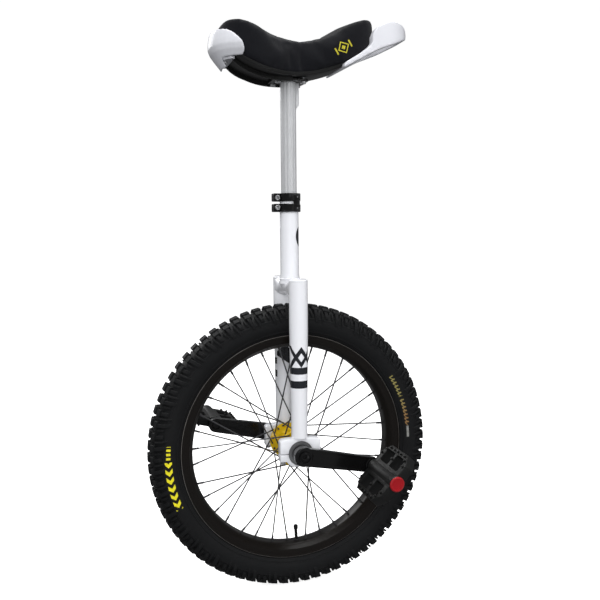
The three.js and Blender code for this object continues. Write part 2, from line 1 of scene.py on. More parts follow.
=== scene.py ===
"""Trials unicycle with a 20-inch wheel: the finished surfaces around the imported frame.

The file is laid out as an add-on. Each operator models one piece or one group of like
pieces, and main() calls them in order. Lengths are metres. +X is the way the rider faces,
+Y is the rider's left, and the ground is z = 0.
"""

import math

import bmesh
import bpy
from bpy.props import FloatProperty, FloatVectorProperty, IntProperty, PointerProperty
from mathutils import Matrix, Vector


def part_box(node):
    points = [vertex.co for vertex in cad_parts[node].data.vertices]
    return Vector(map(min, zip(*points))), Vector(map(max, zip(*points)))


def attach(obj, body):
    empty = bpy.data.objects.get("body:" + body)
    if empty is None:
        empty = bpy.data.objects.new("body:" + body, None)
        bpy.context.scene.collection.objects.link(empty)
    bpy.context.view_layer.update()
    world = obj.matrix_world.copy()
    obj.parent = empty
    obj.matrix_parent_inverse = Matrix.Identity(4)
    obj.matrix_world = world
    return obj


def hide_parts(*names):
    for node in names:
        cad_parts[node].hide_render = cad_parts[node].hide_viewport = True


bl_info = {
    "name": "Trials unicycle",
    "version": (1, 0, 0),
    "blender": (4, 5, 0),
    "location": "View3D > Sidebar > Unicycle",
    "description": "Models the finished pieces of a trials unicycle around its frame",
    "category": "Object",
}

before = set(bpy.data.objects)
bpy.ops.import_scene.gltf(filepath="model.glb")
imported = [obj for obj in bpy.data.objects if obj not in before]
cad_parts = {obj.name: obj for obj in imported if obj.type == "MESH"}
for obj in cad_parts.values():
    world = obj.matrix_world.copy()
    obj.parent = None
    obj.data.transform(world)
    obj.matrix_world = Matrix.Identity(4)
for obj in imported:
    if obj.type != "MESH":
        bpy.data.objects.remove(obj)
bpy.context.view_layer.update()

MM = 0.001
TURN = 2 * math.pi
ACROSS = Vector((0, 1, 0))
UP = Vector((0, 0, 1))
SIDES = (("right", -1), ("left", 1))


def middle(node):
    low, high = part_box(node)
    return (low + high) / 2


TYRE_LOW, TYRE_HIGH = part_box("tyre")
TYRE_RADIUS = (TYRE_HIGH.z - TYRE_LOW.z) / 2
AXLE = Vector((0, 0, TYRE_LOW.z + TYRE_RADIUS))
LEG_Y = middle("leg_left").y
VALVE_ANGLE = math.radians(-87.6)
LACING_STEP = math.radians(20)
LACING_SWEEP = math.radians(60)
WHEEL_STEPS = 144  # steps of the wheel's large turned pieces
SADDLE_REACH = 90 * MM  # further aside than any piece of the saddle
BUMPER_CENTRE = -70  # the bumper's walls taper towards this x, in millimetres
BUMPER_FLOOR = 911 * MM

# ---- settings that a user would change -------------------------------------------------


def colour(name, description, default):
    return FloatVectorProperty(
        name=name, description=description, default=default, size=3, subtype="COLOR", min=0, max=1
    )


def length(name, description, default):
    return FloatProperty(
        name=name, description=description, default=default, min=0, precision=4, unit="LENGTH"
    )


class UnicycleFinish(bpy.types.PropertyGroup):
    """Colours of the finishes."""

    paint: colour("Frame paint", "Gloss paint on the frame", (0.86, 0.87, 0.91))
    decal: colour("Decal", "Printed bands and figures on the paint", (0.006, 0.008, 0.012))
    rubber: colour("Tyre rubber", "Rubber of the tyre", (0.0052, 0.0055, 0.006))
    tyre_mark: colour("Tyre mark", "Printed marks on the sidewalls", (0.78, 0.70, 0.02))
    tyre_label: colour("Tyre label", "Label band on the sidewalls", (0.30, 0.26, 0.09))
    tyre_label_worn: colour("Worn label", "Rubbed end of the label", (0.26, 0.15, 0.06))
    anodised: colour("Hub", "Anodised alloy of the hub", (0.93, 0.62, 0.012))
    black_metal: colour("Black metal", "Rim, cranks, clamp, plate and spokes", (0.0035, 0.0035, 0.0038))
    alloy: colour("Polished alloy", "Seatpost", (0.78, 0.79, 0.81))
    steel: colour("Steel", "Bolts, bearings and spindles", (0.62, 0.63, 0.65))
    black_plastic: colour("Black plastic", "Saddle base and pedals", (0.0045, 0.0048, 0.0048))
    white_plastic: colour("White plastic", "Bumper and handle", (0.80, 0.81, 0.86))
    red_plastic: colour("Red plastic", "Pedal caps", (0.36, 0.003, 0.008))
    fabric: colour("Saddle fabric", "Stretch fabric of the pad", (0.0032, 0.0035, 0.005))
    thread: colour("Emblem thread", "Embroidered emblem on the pad", (0.62, 0.55, 0.04))


def turn_setting(name, description, degrees):
    return FloatProperty(
        name=name, description=description, default=math.radians(degrees), subtype="ANGLE"
    )


class UnicycleWheel(bpy.types.PropertyGroup):
    """Sizes of the wheel."""

    knob_pairs: IntProperty(
        name="Knob pitches", description="Double pitches round the tread", default=38, min=8
    )
    knob_length: length("Knob length", "Length of a tread block along the tread", 13.2 * MM)
    tread_depth: length("Tread depth", "Height of a centre block", 6.6 * MM)
    spoke_radius: length("Spoke radius", "Half the gauge of a spoke", 1.25 * MM)
    rim_bed: length("Rim inner radius", "Radius of the rim's inner face", 178 * MM)
    spoke_circle: length("Spoke circle", "Radius of the holes in a flange", 28 * MM)


class UnicycleFrame(bpy.types.PropertyGroup):
    """Sizes of the frame, the cranks and the pedals."""

    weld_radius: length("Weld bead", "Half the width of a weld bead", 1.5 * MM)
    flute_count: IntProperty(name="Flutes", description="Grooves on the seatpost", default=12)
    flute_depth: length("Flute depth", "Depth of a groove on the seatpost", 0.8 * MM)
    pin_radius: length("Pedal pin radius", "Half the width of a moulded pin", 2.1 * MM)
    pin_height: length("Pedal pin height", "Height of a moulded pin", 3.4 * MM)


class UnicycleSaddle(bpy.types.PropertyGroup):
    """Sizes of the saddle."""

    voxel: length("Pad mesh size", "Spacing of the pad's mesh", 4 * MM)
    swell_limit: length("Pad swell", "Furthest that the filling pushes the fabric", 5 * MM)
    moulding_voxel: length("Moulding mesh size", "Spacing on the white mouldings", 1.5 * MM)


class UnicycleStage(bpy.types.PropertyGroup):
    """The camera and the room."""

    lens: FloatProperty(
        name="Lens", description="Focal length", default=44.25, subtype="DISTANCE_CAMERA"
    )
    shift: FloatProperty(name="Shift", description="Vertical shift of the camera", default=0.0012)
    distance: length("Distance", "From the camera to the point it looks at", 1.3)
    height: length("Height", "Height of the point that the camera looks at", 0.5102)
    aside: length("Aside", "How far ahead of the axle that point is", 0.0183)
    azimuth: turn_setting("Azimuth", "Turn about the vertical", -16.39)
    elevation: turn_setting("Elevation", "Height angle", 5.45)
    roll: turn_setting("Roll", "Camera roll", -0.49)
    floor: colour("Floor", "Floor and walls of the studio", (0.92, 0.92, 0.92))
    floor_glow: FloatProperty(
        name="Floor glow", description="Light that the floor and walls give off", default=0.82
    )


SETTINGS = {
    "unicycle_finish": UnicycleFinish,
    "unicycle_wheel": UnicycleWheel,
    "unicycle_frame": UnicycleFrame,
    "unicycle_saddle": UnicycleSaddle,
    "unicycle_stage": UnicycleStage,
}

# ---- modelling by hand, step by step ---------------------------------------------------


def mm(points, flip=1):
    """Pairs in millimetres made metres; a flip of -1 turns the second to the other side."""
    return [(a * MM, flip * b * MM) for a, b in points]


def mirrored(half):
    """Half a profile of (radius, distance) followed by its mirror image."""
    return [*half, *[(radius, -y) for radius, y in reversed(half)]]


def upright(outline, y):
    """Pairs (x, z) in millimetres as points at one y, in metres."""
    return [(x * MM, y, z * MM) for x, z in outline]


def laid_flat(outline, z):
    """Pairs (x, y) in millimetres as points at one height, in metres."""
    return [(x * MM, y * MM, z) for x, y in outline]


def only(*pieces):
    """Selects these objects and nothing else; the first is active."""
    if bpy.context.mode != "OBJECT":
        bpy.ops.object.mode_set(mode="OBJECT")
    bpy.ops.object.select_all(action="DESELECT")
    for piece in pieces:
        piece.select_set(True)
    bpy.context.view_layer.objects.active = pieces[0]


def deselect():
    if bpy.context.mode != "OBJECT":
        bpy.ops.object.mode_set(mode="OBJECT")
    bpy.ops.object.select_all(action="DESELECT")


def named(name):
    piece = bpy.context.active_object
    piece.name = name
    piece.data.name = name
    return piece


def edit(piece):
    only(piece)
    bpy.ops.object.mode_set(mode="EDIT")
    bpy.ops.mesh.select_mode(type="VERT")
    bpy.ops.mesh.select_all(action="SELECT")


def close_up(piece):
    """Merges seams and poles, turns the faces outwards and leaves edit mode."""
    edit(piece)
    bpy.ops.mesh.remove_doubles(threshold=0.01 * MM)
    bpy.ops.mesh.normals_make_consistent(inside=False)
    bpy.ops.object.mode_set(mode="OBJECT")
    return piece


def settle(piece):
    """Moves the object's place, turn and scale into its mesh."""
    only(piece)
    bpy.ops.object.transform_apply(location=True, rotation=True, scale=True)
    return piece


def wire(name, points):
    """A chain of edges through the points, left selected in edit mode."""
    deselect()
    bpy.ops.mesh.primitive_plane_add(size=MM)
    piece = named(name)
    edit(piece)
    bpy.ops.mesh.merge(type="CENTER")
    bpy.ops.mesh.select_all(action="SELECT")
    bpy.ops.transform.translate(value=Vector(points[0]))
    for here, there in zip(points, points[1:]):
        step = Vector(there) - Vector(here)
        bpy.ops.mesh.extrude_vertices_move(TRANSFORM_OT_translate={"value": step})
    bpy.ops.mesh.select_all(action="SELECT")
    return piece


def lathe(name, profile, centre=AXLE, axis=ACROSS, steps=48, closed=True):
    """A profile of (radius, distance along the axis) spun once round the axis."""
    centre = Vector(centre)
    outward = Vector((1, 0, 0))
    points = [centre + radius * outward + along * axis for radius, along in profile]
    if closed:
        points.append(points[0])
    piece = wire(name, points)
    bpy.ops.mesh.spin(steps=steps, angle=TURN, center=centre, axis=axis)
    return close_up(piece)


def slab(name, outline, depth):
    """A closed outline filled and extruded by the vector depth."""
    piece = wire(name, [*outline, outline[0]])
    bpy.ops.mesh.remove_doubles(threshold=0.01 * MM)
    bpy.ops.mesh.select_all(action="SELECT")
    bpy.ops.mesh.edge_face_add()
    bpy.ops.mesh.extrude_region_move(TRANSFORM_OT_translate={"value": Vector(depth)})
    return close_up(piece)


def rod(name, start, end, radius, sides=24):
    """A round bar between two points."""
    deselect()
    start, end = Vector(start), Vector(end)
    way = end - start
    turn = way.to_track_quat("Z", "Y").to_euler()
    bpy.ops.mesh.primitive_cylinder_add(
        vertices=sides, radius=radius, depth=way.length, location=(start + end) / 2, rotation=turn
    )
    return settle(named(name))


def block(name, low, high):
    deselect()
    low, high = Vector(low), Vector(high)
    bpy.ops.mesh.primitive_cube_add(size=1, location=(low + high) / 2, scale=high - low)
    return settle(named(name))


def tube(name, points, radius, fineness=1):
    """A round wire along the points, with closed ends."""
    piece = wire(name, points)
    only(piece)
    bpy.ops.object.convert(target="CURVE")
    piece = bpy.context.active_object
    piece.data.bevel_depth = radius
    piece.data.bevel_resolution = fineness
    piece.data.use_fill_caps = True
    bpy.ops.object.convert(target="MESH")
    piece = named(name)
    return close_up(piece)


def apply(piece, kind, **settings):
    """Adds one modifier, sets it and applies it."""
    modifier = piece.modifiers.new(kind.lower(), kind)
    for name, value in settings.items():
        setattr(modifier, name, value)
    only(piece)
    bpy.ops.object.modifier_apply(modifier=modifier.name)
    return piece


def soften(piece, width, segments=2, angle=32):
    """Rounds the sharp edges."""
    return apply(
        piece, "BEVEL", width=width, segments=segments, limit_method="ANGLE",
        angle_limit=math.radians(angle), use_clamp_overlap=True,
    )


def combine(piece, tool, operation):
    apply(piece, "BOOLEAN", operation=operation, solver="EXACT", object=tool)
    bpy.data.objects.remove(tool)
    return piece


def cut(piece, *tools):
    for tool in tools:
        combine(piece, tool, "DIFFERENCE")
    return piece


def join(name, pieces):
    only(*pieces)
    if len(pieces) > 1:
        bpy.ops.object.join()
    return named(name)


def repeat_round(piece, copies, centre=AXLE, axis=ACROSS):
    """Copies the piece evenly round an axis, within its own mesh."""
    edit(piece)
    bpy.ops.mesh.spin(
        dupli=True, steps=copies - 1, angle=TURN * (copies - 1) / copies,
        center=Vector(centre), axis=axis,
    )
    bpy.ops.object.mode_set(mode="OBJECT")
    return piece


def smooth_line(knots, steps, closed=False):
    """A Catmull-Rom curve through the knots, as (a, b) pairs."""
    count = len(knots)
    line = []
    spans = count if closed else count - 1
    for i in range(steps if closed else steps + 1):
        at = spans * i / steps
        start = min(int(at), spans - 1)
        t = at - start
        if closed:
            near = [Vector(knots[(start + k) % count]) for k in (-1, 0, 1, 2)]
        else:
            near = [Vector(knots[min(max(start + k, 0), count - 1)]) for k in (-1, 0, 1, 2)]
        p0, p1, p2, p3 = near
        line.append(0.5 * (
            2 * p1 + (p2 - p0) * t + (2 * p0 - 5 * p1 + 4 * p2 - p3) * t**2
            + (3 * p1 - p0 - 3 * p2 + p3) * t**3
        ))
    return line


def arc(centre, radius, start, end, steps):
    """Points (a, b) on an arc; the angles are in degrees."""
    points = []
    for i in range(steps + 1):
        angle = math.radians(start + (end - start) * i / steps)
        points.append((centre[0] + radius * math.cos(angle), centre[1] + radius * math.sin(angle)))
    return points


def fit(piece, finish, body, slot, *nodes, angle=35):
    """Gives a finished piece its material, its smooth shading and its body, and hides the nodes it stands
    for; the slot is not used.
    """
    piece.data.materials.clear()
    piece.data.materials.append(bpy.data.materials[f"{finish}_finish"])
    only(piece)
    bpy.ops.object.shade_smooth_by_angle(angle=math.radians(angle))
    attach(piece, body)
    if nodes:
        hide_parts(*nodes)
    return piece


# ---- shader building -------------------------------------------------------------------


def put(tree, kind, inputs=None, **settings):
    """Adds one node; each input is a value or another node's output."""
    node = tree.nodes.new(kind)
    for name, value in settings.items():
        setattr(node, name, value)
    for name, value in (inputs or {}).items():
        if isinstance(value, bpy.types.NodeSocket):
            tree.links.new(value, node.inputs[name])
        else:
            node.inputs[name].default_value = value
    return node


def maths(tree, operation, a, b=0.0, c=0.0):
    return put(tree, "ShaderNodeMath", {0: a, 1: b, 2: c}, operation=operation).outputs[0]


def product(tree, *masks):
    """All the masks multiplied together."""
    result = masks[0]
    for mask in masks[1:]:
        result = maths(tree, "MULTIPLY", result, mask)
    return result


def greatest(tree, *masks):
    result = masks[0]
    for mask in masks[1:]:
        result = maths(tree, "MAXIMUM", result, mask)
    return result


def noise(tree, vector, scale, detail):
    inputs = {"Vector": vector, "Scale": scale, "Detail": detail}
    return put(tree, "ShaderNodeTexNoise", inputs).outputs["Fac"]


def between(tree, value, low, high, blur):
    """1 where low < value < high, with edges that are blur wide."""
    steps = {"Value": value, "To Min": 0.0, "To Max": 1.0}
    rise = put(tree, "ShaderNodeMapRange", {**steps, "From Min": low - blur, "From Max": low + blur})
    fall = put(tree, "ShaderNodeMapRange", {**steps, "From Min": high + blur, "From Max": high - blur})
    return maths(tree, "MULTIPLY", rise.outputs[0], fall.outputs[0])


def blend_colours(tree, mask, first, second):
    node = put(tree, "ShaderNodeMix", data_type="RGBA")
    for index, value in ((0, mask), (6, first), (7, second)):
        if isinstance(value, bpy.types.NodeSocket):
            tree.links.new(value, node.inputs[index])
        else:
            node.inputs[index].default_value = value
    return node.outputs[2]


def effect(name, inputs, outputs):
    """An empty shader group with its input and output sockets."""
    tree = bpy.data.node_groups.new(name, "ShaderNodeTree")
    for label, kind, default in inputs:
        socket = tree.interface.new_socket(label, in_out="INPUT", socket_type=kind)
        if default is not None:
            socket.default_value = default
    for label, kind in outputs:
        tree.interface.new_socket(label, in_out="OUTPUT", socket_type=kind)
    return tree, tree.nodes.new("NodeGroupInput").outputs, tree.nodes.new("NodeGroupOutput").inputs


VECTOR, NUMBER = "NodeSocketVector", "NodeSocketFloat"


def grain_effect():
    """Fine moulded or cast texture: small dimples over slower waves."""
    inputs = [("Vector", VECTOR, None), ("Scale", NUMBER, 400.0)]
    tree, given, result = effect("grain", inputs, [("Height", NUMBER), ("Mottle", NUMBER)])
    fine = noise(tree, given["Vector"], given["Scale"], 4.0)
    slow = noise(tree, given["Vector"], maths(tree, "MULTIPLY", given["Scale"], 0.06), 3.0)
    height = maths(tree, "MULTIPLY_ADD", slow, 0.5, fine)
    tree.links.new(height, result["Height"])
    tree.links.new(slow, result["Mottle"])


def wear_effect():
    """Rubbed edges: convex places broken up by noise."""
    inputs = [("Vector", VECTOR, None), ("Scale", NUMBER, 90.0), ("Reach", NUMBER, 0.04)]
    tree, given, result = effect("wear", inputs, [("Mask", NUMBER)])
    point = tree.nodes.new("ShaderNodeNewGeometry").outputs["Pointiness"]
    broken = noise(tree, given["Vector"], given["Scale"], 5.0)
    limit = maths(tree, "MULTIPLY_ADD", broken, 0.10, 0.51)
    over = maths(tree, "SUBTRACT", point, limit)
    mask = maths(tree, "DIVIDE", over, given["Reach"])
    tree.links.new(put(tree, "ShaderNodeClamp", {"Value": mask}).outputs[0], result["Mask"])


def dust_effect():
    """Dust that settles on what faces up, broken up by noise."""
    tree, given, result = effect(
        "dust", [("Vector", VECTOR, None), ("Amount", NUMBER, 0.1)], [("Mask", NUMBER)]
    )
    normal = tree.nodes.new("ShaderNodeNewGeometry").outputs["Normal"]
    up = put(tree, "ShaderNodeSeparateXYZ", {0: normal}).outputs["Z"]
    facing = maths(tree, "MAXIMUM", maths(tree, "MULTIPLY_ADD", up, 0.6, 0.4), 0.0)
    cloud = noise(tree, given["Vector"], 38.0, 6.0)
    specks = noise(tree, given["Vector"], 900.0, 1.0)
    tree.links.new(product(tree, cloud, specks, facing, given["Amount"]), result["Mask"])


def weave_effect():
    """Two sets of threads that cross."""
    inputs = [("Vector", VECTOR, None), ("Pitch", NUMBER, 0.0009)]
    tree, given, result = effect("weave", inputs, [("Height", NUMBER), ("Thread", NUMBER)])
    parts = put(tree, "ShaderNodeSeparateXYZ", {0: given["Vector"]}).outputs
    pace = maths(tree, "DIVIDE", TURN, given["Pitch"])
    slant = maths(tree, "ADD", parts["Y"], parts["Z"])
    lines = [maths(tree, "SINE", maths(tree, "MULTIPLY", way, pace)) for way in (parts["X"], slant)]
    crossed = product(tree, *lines)
    fuzz = noise(tree, given["Vector"], 1400.0, 2.0)
    tree.links.new(maths(tree, "MULTIPLY_ADD", crossed, 0.5, fuzz), result["Height"])
    tree.links.new(maths(tree, "MULTIPLY_ADD", crossed, 0.5, 0.5), result["Thread"])


def polar_effect():
    """Distance from the axle and the angle round it, in degrees from 0 to 360."""
    tree, given, result = effect(
        "round_the_axle", [("Vector", VECTOR, None)], [("Radius", NUMBER), ("Angle", NUMBER)]
    )
    parts = put(tree, "ShaderNodeSeparateXYZ", {0: given["Vector"]}).outputs
    high = maths(tree, "SUBTRACT", parts["Z"], AXLE.z)
    square = maths(tree, "MULTIPLY_ADD", high, high, maths(tree, "MULTIPLY", parts["X"], parts["X"]))
    tree.links.new(maths(tree, "SQRT", square), result["Radius"])
    angle = maths(tree, "DEGREES", maths(tree, "ARCTAN2", high, parts["X"]))
    tree.links.new(maths(tree, "FLOORED_MODULO", angle, 360.0), result["Angle"])


class Finish:
    """One material under construction."""

    def __init__(self, name, base, roughness, metallic=0.0):
        self.material = bpy.data.materials.new(f"{name}_finish")
        self.material.use_nodes = True
        self.tree = self.material.node_tree
        self.shader = self.tree.nodes["Principled BSDF"]
        self.place = put(self.tree, "ShaderNodeTexCoord").outputs["Object"]
        self.colour = (*base, 1)
        self.roughness = roughness
        self.shader.inputs["Metallic"].default_value = metallic

    def group(self, name, **inputs):
        node = put(self.tree, "ShaderNodeGroup", node_tree=bpy.data.node_groups[name])
        self.tree.links.new(self.place, node.inputs["Vector"])
        for label, value in inputs.items():
            node.inputs[label].default_value = value
        return node.outputs

    def tint(self, mask, colour):
        """Blends a colour in where the mask says."""
        target = colour if isinstance(colour, bpy.types.NodeSocket) else (*colour, 1)
        self.colour = blend_colours(self.tree, mask, self.colour, target)

    def rough(self, mask, low, high):
        """Roughness that runs from low to high with the mask."""
        steps = {"Value": mask, "To Min": low, "To Max": high}
        self.roughness = put(self.tree, "ShaderNodeMapRange", steps).outputs[0]

    def bump(self, height, distance, strength=1.0):
        inputs = {"Height": height, "Distance": distance, "Strength": strength}
        normal = put(self.tree, "ShaderNodeBump", inputs).outputs["Normal"]
        self.tree.links.new(normal, self.shader.inputs["Normal"])

    def set(self, **values):
        for name, value in values.items():
            self.shader.inputs[name.replace("_", " ")].default_value = value

    def done(self):
        for name, value in (("Base Color", self.colour), ("Roughness", self.roughness)):
            if isinstance(value, bpy.types.NodeSocket):
                self.tree.links.new(value, self.shader.inputs[name])
            else:
                self.shader.inputs[name].default_value = value


def lighter(base, factor):
    return tuple(min(1.0, part * factor) for part in base)


def simple_finish(
    name, base, low, high, metallic=0.0, scale=500.0, depth=0.02, edge=None, coat=0.0, dust=0.0
):
    """Grain, mottled colour, uneven gloss, rubbed edges and a little dust."""
    finish = Finish(name, base, low, metallic)
    grain = finish.group("grain", Scale=scale)
    finish.tint(grain["Mottle"], lighter(base, 0.78))
    if edge:
        finish.tint(finish.group("wear")["Mask"], edge)
    if dust:
        finish.tint(finish.group("dust", Amount=dust)["Mask"], (0.34, 0.32, 0.30))
    finish.rough(grain["Mottle"], low, high)
    finish.bump(grain["Height"], depth * MM)
    finish.set(Coat_Weight=coat, Coat_Roughness=0.08)
    return finish


def tyre_finish(settings):
    finish = Finish("tyre_rubber", settings.rubber, 0.6)
    tree = finish.tree
    grain = finish.group("grain", Scale=700.0)
    finish.tint(grain["Mottle"], lighter(settings.rubber, 1.5))
    polar = finish.group("round_the_axle")
    radius, angle = polar["Radius"], polar["Angle"]
    # a row of chevrons, large then small
    lean = maths(tree, "ABSOLUTE", maths(tree, "SUBTRACT", radius, 221.5 * MM))
    shifted = maths(tree, "MULTIPLY_ADD", lean, 260.0, angle)
    large = maths(tree, "FRACT", maths(tree, "DIVIDE", shifted, 3.7))
    row = between(tree, angle, 181, 203, 0.05)
    band = between(tree, radius, 215.5 * MM, 227.5 * MM, 0.2 * MM)
    chevrons = product(tree, row, band, between(tree, large, 0.1, 0.6, 0.03))
    small = maths(tree, "FRACT", maths(tree, "DIVIDE", angle, 1.9))
    row = between(tree, angle, 174, 180, 0.05)
    band = between(tree, radius, 218 * MM, 225 * MM, 0.2 * MM)
    dashes = product(tree, row, band, between(tree, small, 0.15, 0.7, 0.05))
    finish.tint(greatest(tree, chevrons, dashes), settings.tyre_mark)
    # a worn label band of short bars, ending in a pale strip
    bars = maths(tree, "FRACT", maths(tree, "DIVIDE", angle, 1.9))
    zigzag = maths(tree, "MULTIPLY_ADD", maths(tree, "PINGPONG", angle, 0.95), 3 * MM, 210.5 * MM)
    over = maths(tree, "SUBTRACT", radius, zigzag)
    strokes = greatest(
        tree, between(tree, over, 0, 1.6 * MM, 0.2 * MM), between(tree, bars, 0.1, 0.42, 0.05)
    )
    band = between(tree, radius, 210.5 * MM, 217.5 * MM, 0.2 * MM)
    groups = greatest(tree, between(tree, angle, 21.5, 33, 0.1), between(tree, angle, 6.5, 20, 0.1))
    label = product(tree, groups, band, strokes)
    faded = blend_colours(
        tree, between(tree, angle, 2, 17, 5), (*settings.tyre_label, 1), (*settings.tyre_label_worn, 1)
    )
    finish.tint(label, faded)
    band = between(tree, radius, 212 * MM, 216 * MM, 0.2 * MM)
    ticks = between(tree, maths(tree, "FRACT", maths(tree, "MULTIPLY", angle, 1.6)), 0.2, 0.8, 0.05)
    strip = product(tree, between(tree, angle, 0.5, 6, 0.1), band, ticks)
    finish.tint(strip, (0.42, 0.42, 0.40))
    finish.tint(finish.group("dust", Amount=0.03)["Mask"], (0.30, 0.28, 0.26))
    finish.rough(grain["Mottle"], 0.48, 0.72)
    finish.bump(grain["Height"], 0.05 * MM)
    finish.set(Specular_IOR_Level=0.3)
    finish.done()


def rim_finish(settings):
    finish = Finish("rim_black", settings.black_metal, 0.3, 0.1)
    tree = finish.tree
    polar = finish.group("round_the_axle")
    inputs = {"W": maths(tree, "MULTIPLY", polar["Radius"], 2600.0), "Detail": 2.0}
    lines = put(tree, "ShaderNodeTexNoise", inputs, noise_dimensions="1D").outputs["Fac"]
    finish.tint(lines, (0.010, 0.0075, 0.0055))
    # painted highlight: a patchy light grey ring on the rim's lip stands in for the reflection along its
    # edge
    lip_highlight_band = between(tree, polar["Radius"], 198.6 * MM, 199.6 * MM, 0.1 * MM)
    patchy_lip_highlight = product(tree, lip_highlight_band, finish.group("grain", Scale=500.0)["Mottle"])
    finish.tint(patchy_lip_highlight, (0.20, 0.19, 0.18))
    finish.rough(lines, 0.22, 0.42)
    finish.bump(lines, 0.03 * MM)
    finish.set(Coat_Weight=0.1, Coat_Roughness=0.15, Specular_IOR_Level=0.3)
    finish.done()


def drawn_finish(name, base, low, high, metallic=1.0):
    """Drawn alloy with fine lines that run up the tube."""
    finish = Finish(name, base, low, metallic)
    tree = finish.tree
    inputs = {"Vector": finish.place, "Scale": (1800, 1800, 14)}
    stretched = put(tree, "ShaderNodeMapping", inputs).outputs[0]
    lines = noise(tree, stretched, 1.0, 3.0)
    grain = finish.group("grain", Scale=260.0)
    finish.tint(grain["Mottle"], lighter(base, 0.82))
    finish.rough(lines, low, high)
    finish.bump(lines, 0.015 * MM)
    finish.done()


def paint_finish(settings):
    """Gloss paint with printed bands and chevrons on the legs and an oval on the tube."""
    finish = Finish("white_paint", settings.paint, 0.25)
    tree = finish.tree
    grain = finish.group("grain", Scale=160.0)
    finish.tint(grain["Mottle"], lighter(settings.paint, 0.97))
    parts = put(tree, "ShaderNodeSeparateXYZ", {0: finish.place}).outputs
    out = maths(tree, "ABSOLUTE", parts["Y"])
    on_leg = between(tree, out, LEG_Y - 20 * MM, LEG_Y + 20 * MM, MM)
    upper = between(tree, parts["Z"], 391.6 * MM, 403.4 * MM, 0.3 * MM)
    lower = between(tree, parts["Z"], 367.6 * MM, 380.5 * MM, 0.3 * MM)
    round_leg = maths(tree, "ARCTAN2", parts["X"], maths(tree, "SUBTRACT", out, LEG_Y))
    aside = maths(tree, "ABSOLUTE", round_leg)
    slope = maths(tree, "MULTIPLY", aside, 21 * MM)
    rising = maths(tree, "SUBTRACT", parts["Z"], slope)
    falling = maths(tree, "ADD", parts["Z"], slope)
    arrows = greatest(
        tree,
        between(tree, rising, 403 * MM, 413 * MM, 0.3 * MM),
        between(tree, falling, 428 * MM, 439 * MM, 0.3 * MM),
    )
    figure = product(tree, arrows, between(tree, parts["Z"], 403 * MM, 440 * MM, 0.3 * MM))
    printed = greatest(tree, upper, lower, figure)
    printed = product(tree, printed, between(tree, aside, -1, 2.1, 0.02))
    # the inner side carries one dark block with a slanted foot and a light chevron
    foot = maths(tree, "MULTIPLY_ADD", parts["X"], 0.7, parts["Z"])
    notch = maths(tree, "MULTIPLY_ADD", maths(tree, "ABSOLUTE", parts["X"]), 1.1, parts["Z"])
    notch = between(tree, notch, 430 * MM, 435 * MM, 0.3 * MM)
    inside = product(
        tree,
        between(tree, foot, 398 * MM, 520 * MM, 0.3 * MM),
        between(tree, aside, 2.1, 4, 0.02),
        between(tree, parts["Z"], 380 * MM, 452 * MM, 0.3 * MM),
        maths(tree, "SUBTRACT", 1.0, notch),
    )
    finish.tint(product(tree, greatest(tree, printed, inside), on_leg), settings.decal)
    on_tube = between(tree, out, -1, 18 * MM, 0.2 * MM)
    round_tube = maths(tree, "ARCTAN2", parts["X"], maths(tree, "MULTIPLY", parts["Y"], -1.0))
    aside = maths(tree, "MULTIPLY", maths(tree, "SUBTRACT", round_tube, 1.2), 16.2 / 11.5)
    rise = maths(tree, "DIVIDE", maths(tree, "SUBTRACT", parts["Z"], 623 * MM), 17.5 * MM)
    reach = maths(tree, "MULTIPLY_ADD", aside, aside, maths(tree, "MULTIPLY", rise, rise))
    badge = product(tree, between(tree, reach, -1, 1, 0.03), on_tube)
    finish.tint(badge, settings.decal)
    finish.tint(finish.group("dust", Amount=0.12)["Mask"], (0.45, 0.44, 0.43))
    finish.rough(grain["Mottle"], 0.18, 0.32)
    finish.bump(grain["Height"], 0.02 * MM)
    finish.set(Coat_Weight=0.6, Coat_Roughness=0.05)
    finish.done()


def fabric_finish(settings):
    """Stretch fabric with an embroidered diamond near the front of each side."""
    finish = Finish("cover_fabric", settings.fabric, 0.85)
    tree = finish.tree
    weave = finish.group("weave", Pitch=1.1 * MM)
    grain = finish.group("grain", Scale=120.0)
    finish.tint(grain["Mottle"], lighter(settings.fabric, 1.6))
    finish.tint(weave["Thread"], lighter(settings.fabric, 1.35))
    parts = put(tree, "ShaderNodeSeparateXYZ", {0: finish.place}).outputs
    ahead = maths(tree, "SUBTRACT", parts["X"], 86 * MM)
    high = maths(tree, "SUBTRACT", parts["Z"], 939 * MM)
    lean = math.radians(32)
    sideways = maths(tree, "MULTIPLY", high, math.sin(lean))
    along = maths(tree, "MULTIPLY_ADD", ahead, math.cos(lean), sideways)
    sideways = maths(tree, "MULTIPLY", ahead, -math.sin(lean))
    over = maths(tree, "MULTIPLY_ADD", high, math.cos(lean), sideways)
    reach = maths(tree, "ADD", maths(tree, "ABSOLUTE", along), maths(tree, "ABSOLUTE", over))
    ring = between(tree, reach, 8.5 * MM, 11 * MM, 0.2 * MM)
    heart = between(tree, reach, -1, 4 * MM, 0.2 * MM)
    wings = product(
        tree,
        between(tree, maths(tree, "ABSOLUTE", along), 12.5 * MM, 15 * MM, 0.2 * MM),
        between(tree, over, -6 * MM, 6 * MM, 0.2 * MM),
    )
    emblem = greatest(tree, ring, heart, wings)
    stitches = maths(tree, "MULTIPLY_ADD", weave["Thread"], 0.4, 0.6)
    side = maths(tree, "GREATER_THAN", maths(tree, "ABSOLUTE", parts["Y"]), 25 * MM)
    finish.tint(product(tree, emblem, stitches, side), settings.thread)
    finish.tint(finish.group("dust", Amount=0.02)["Mask"], (0.30, 0.29, 0.29))
    finish.rough(weave["Thread"], 0.7, 0.92)
    finish.bump(weave["Height"], 0.12 * MM, 0.8)
    finish.set(Sheen_Weight=0.12, Sheen_Roughness=0.5, Specular_IOR_Level=0.22)
    finish.done()


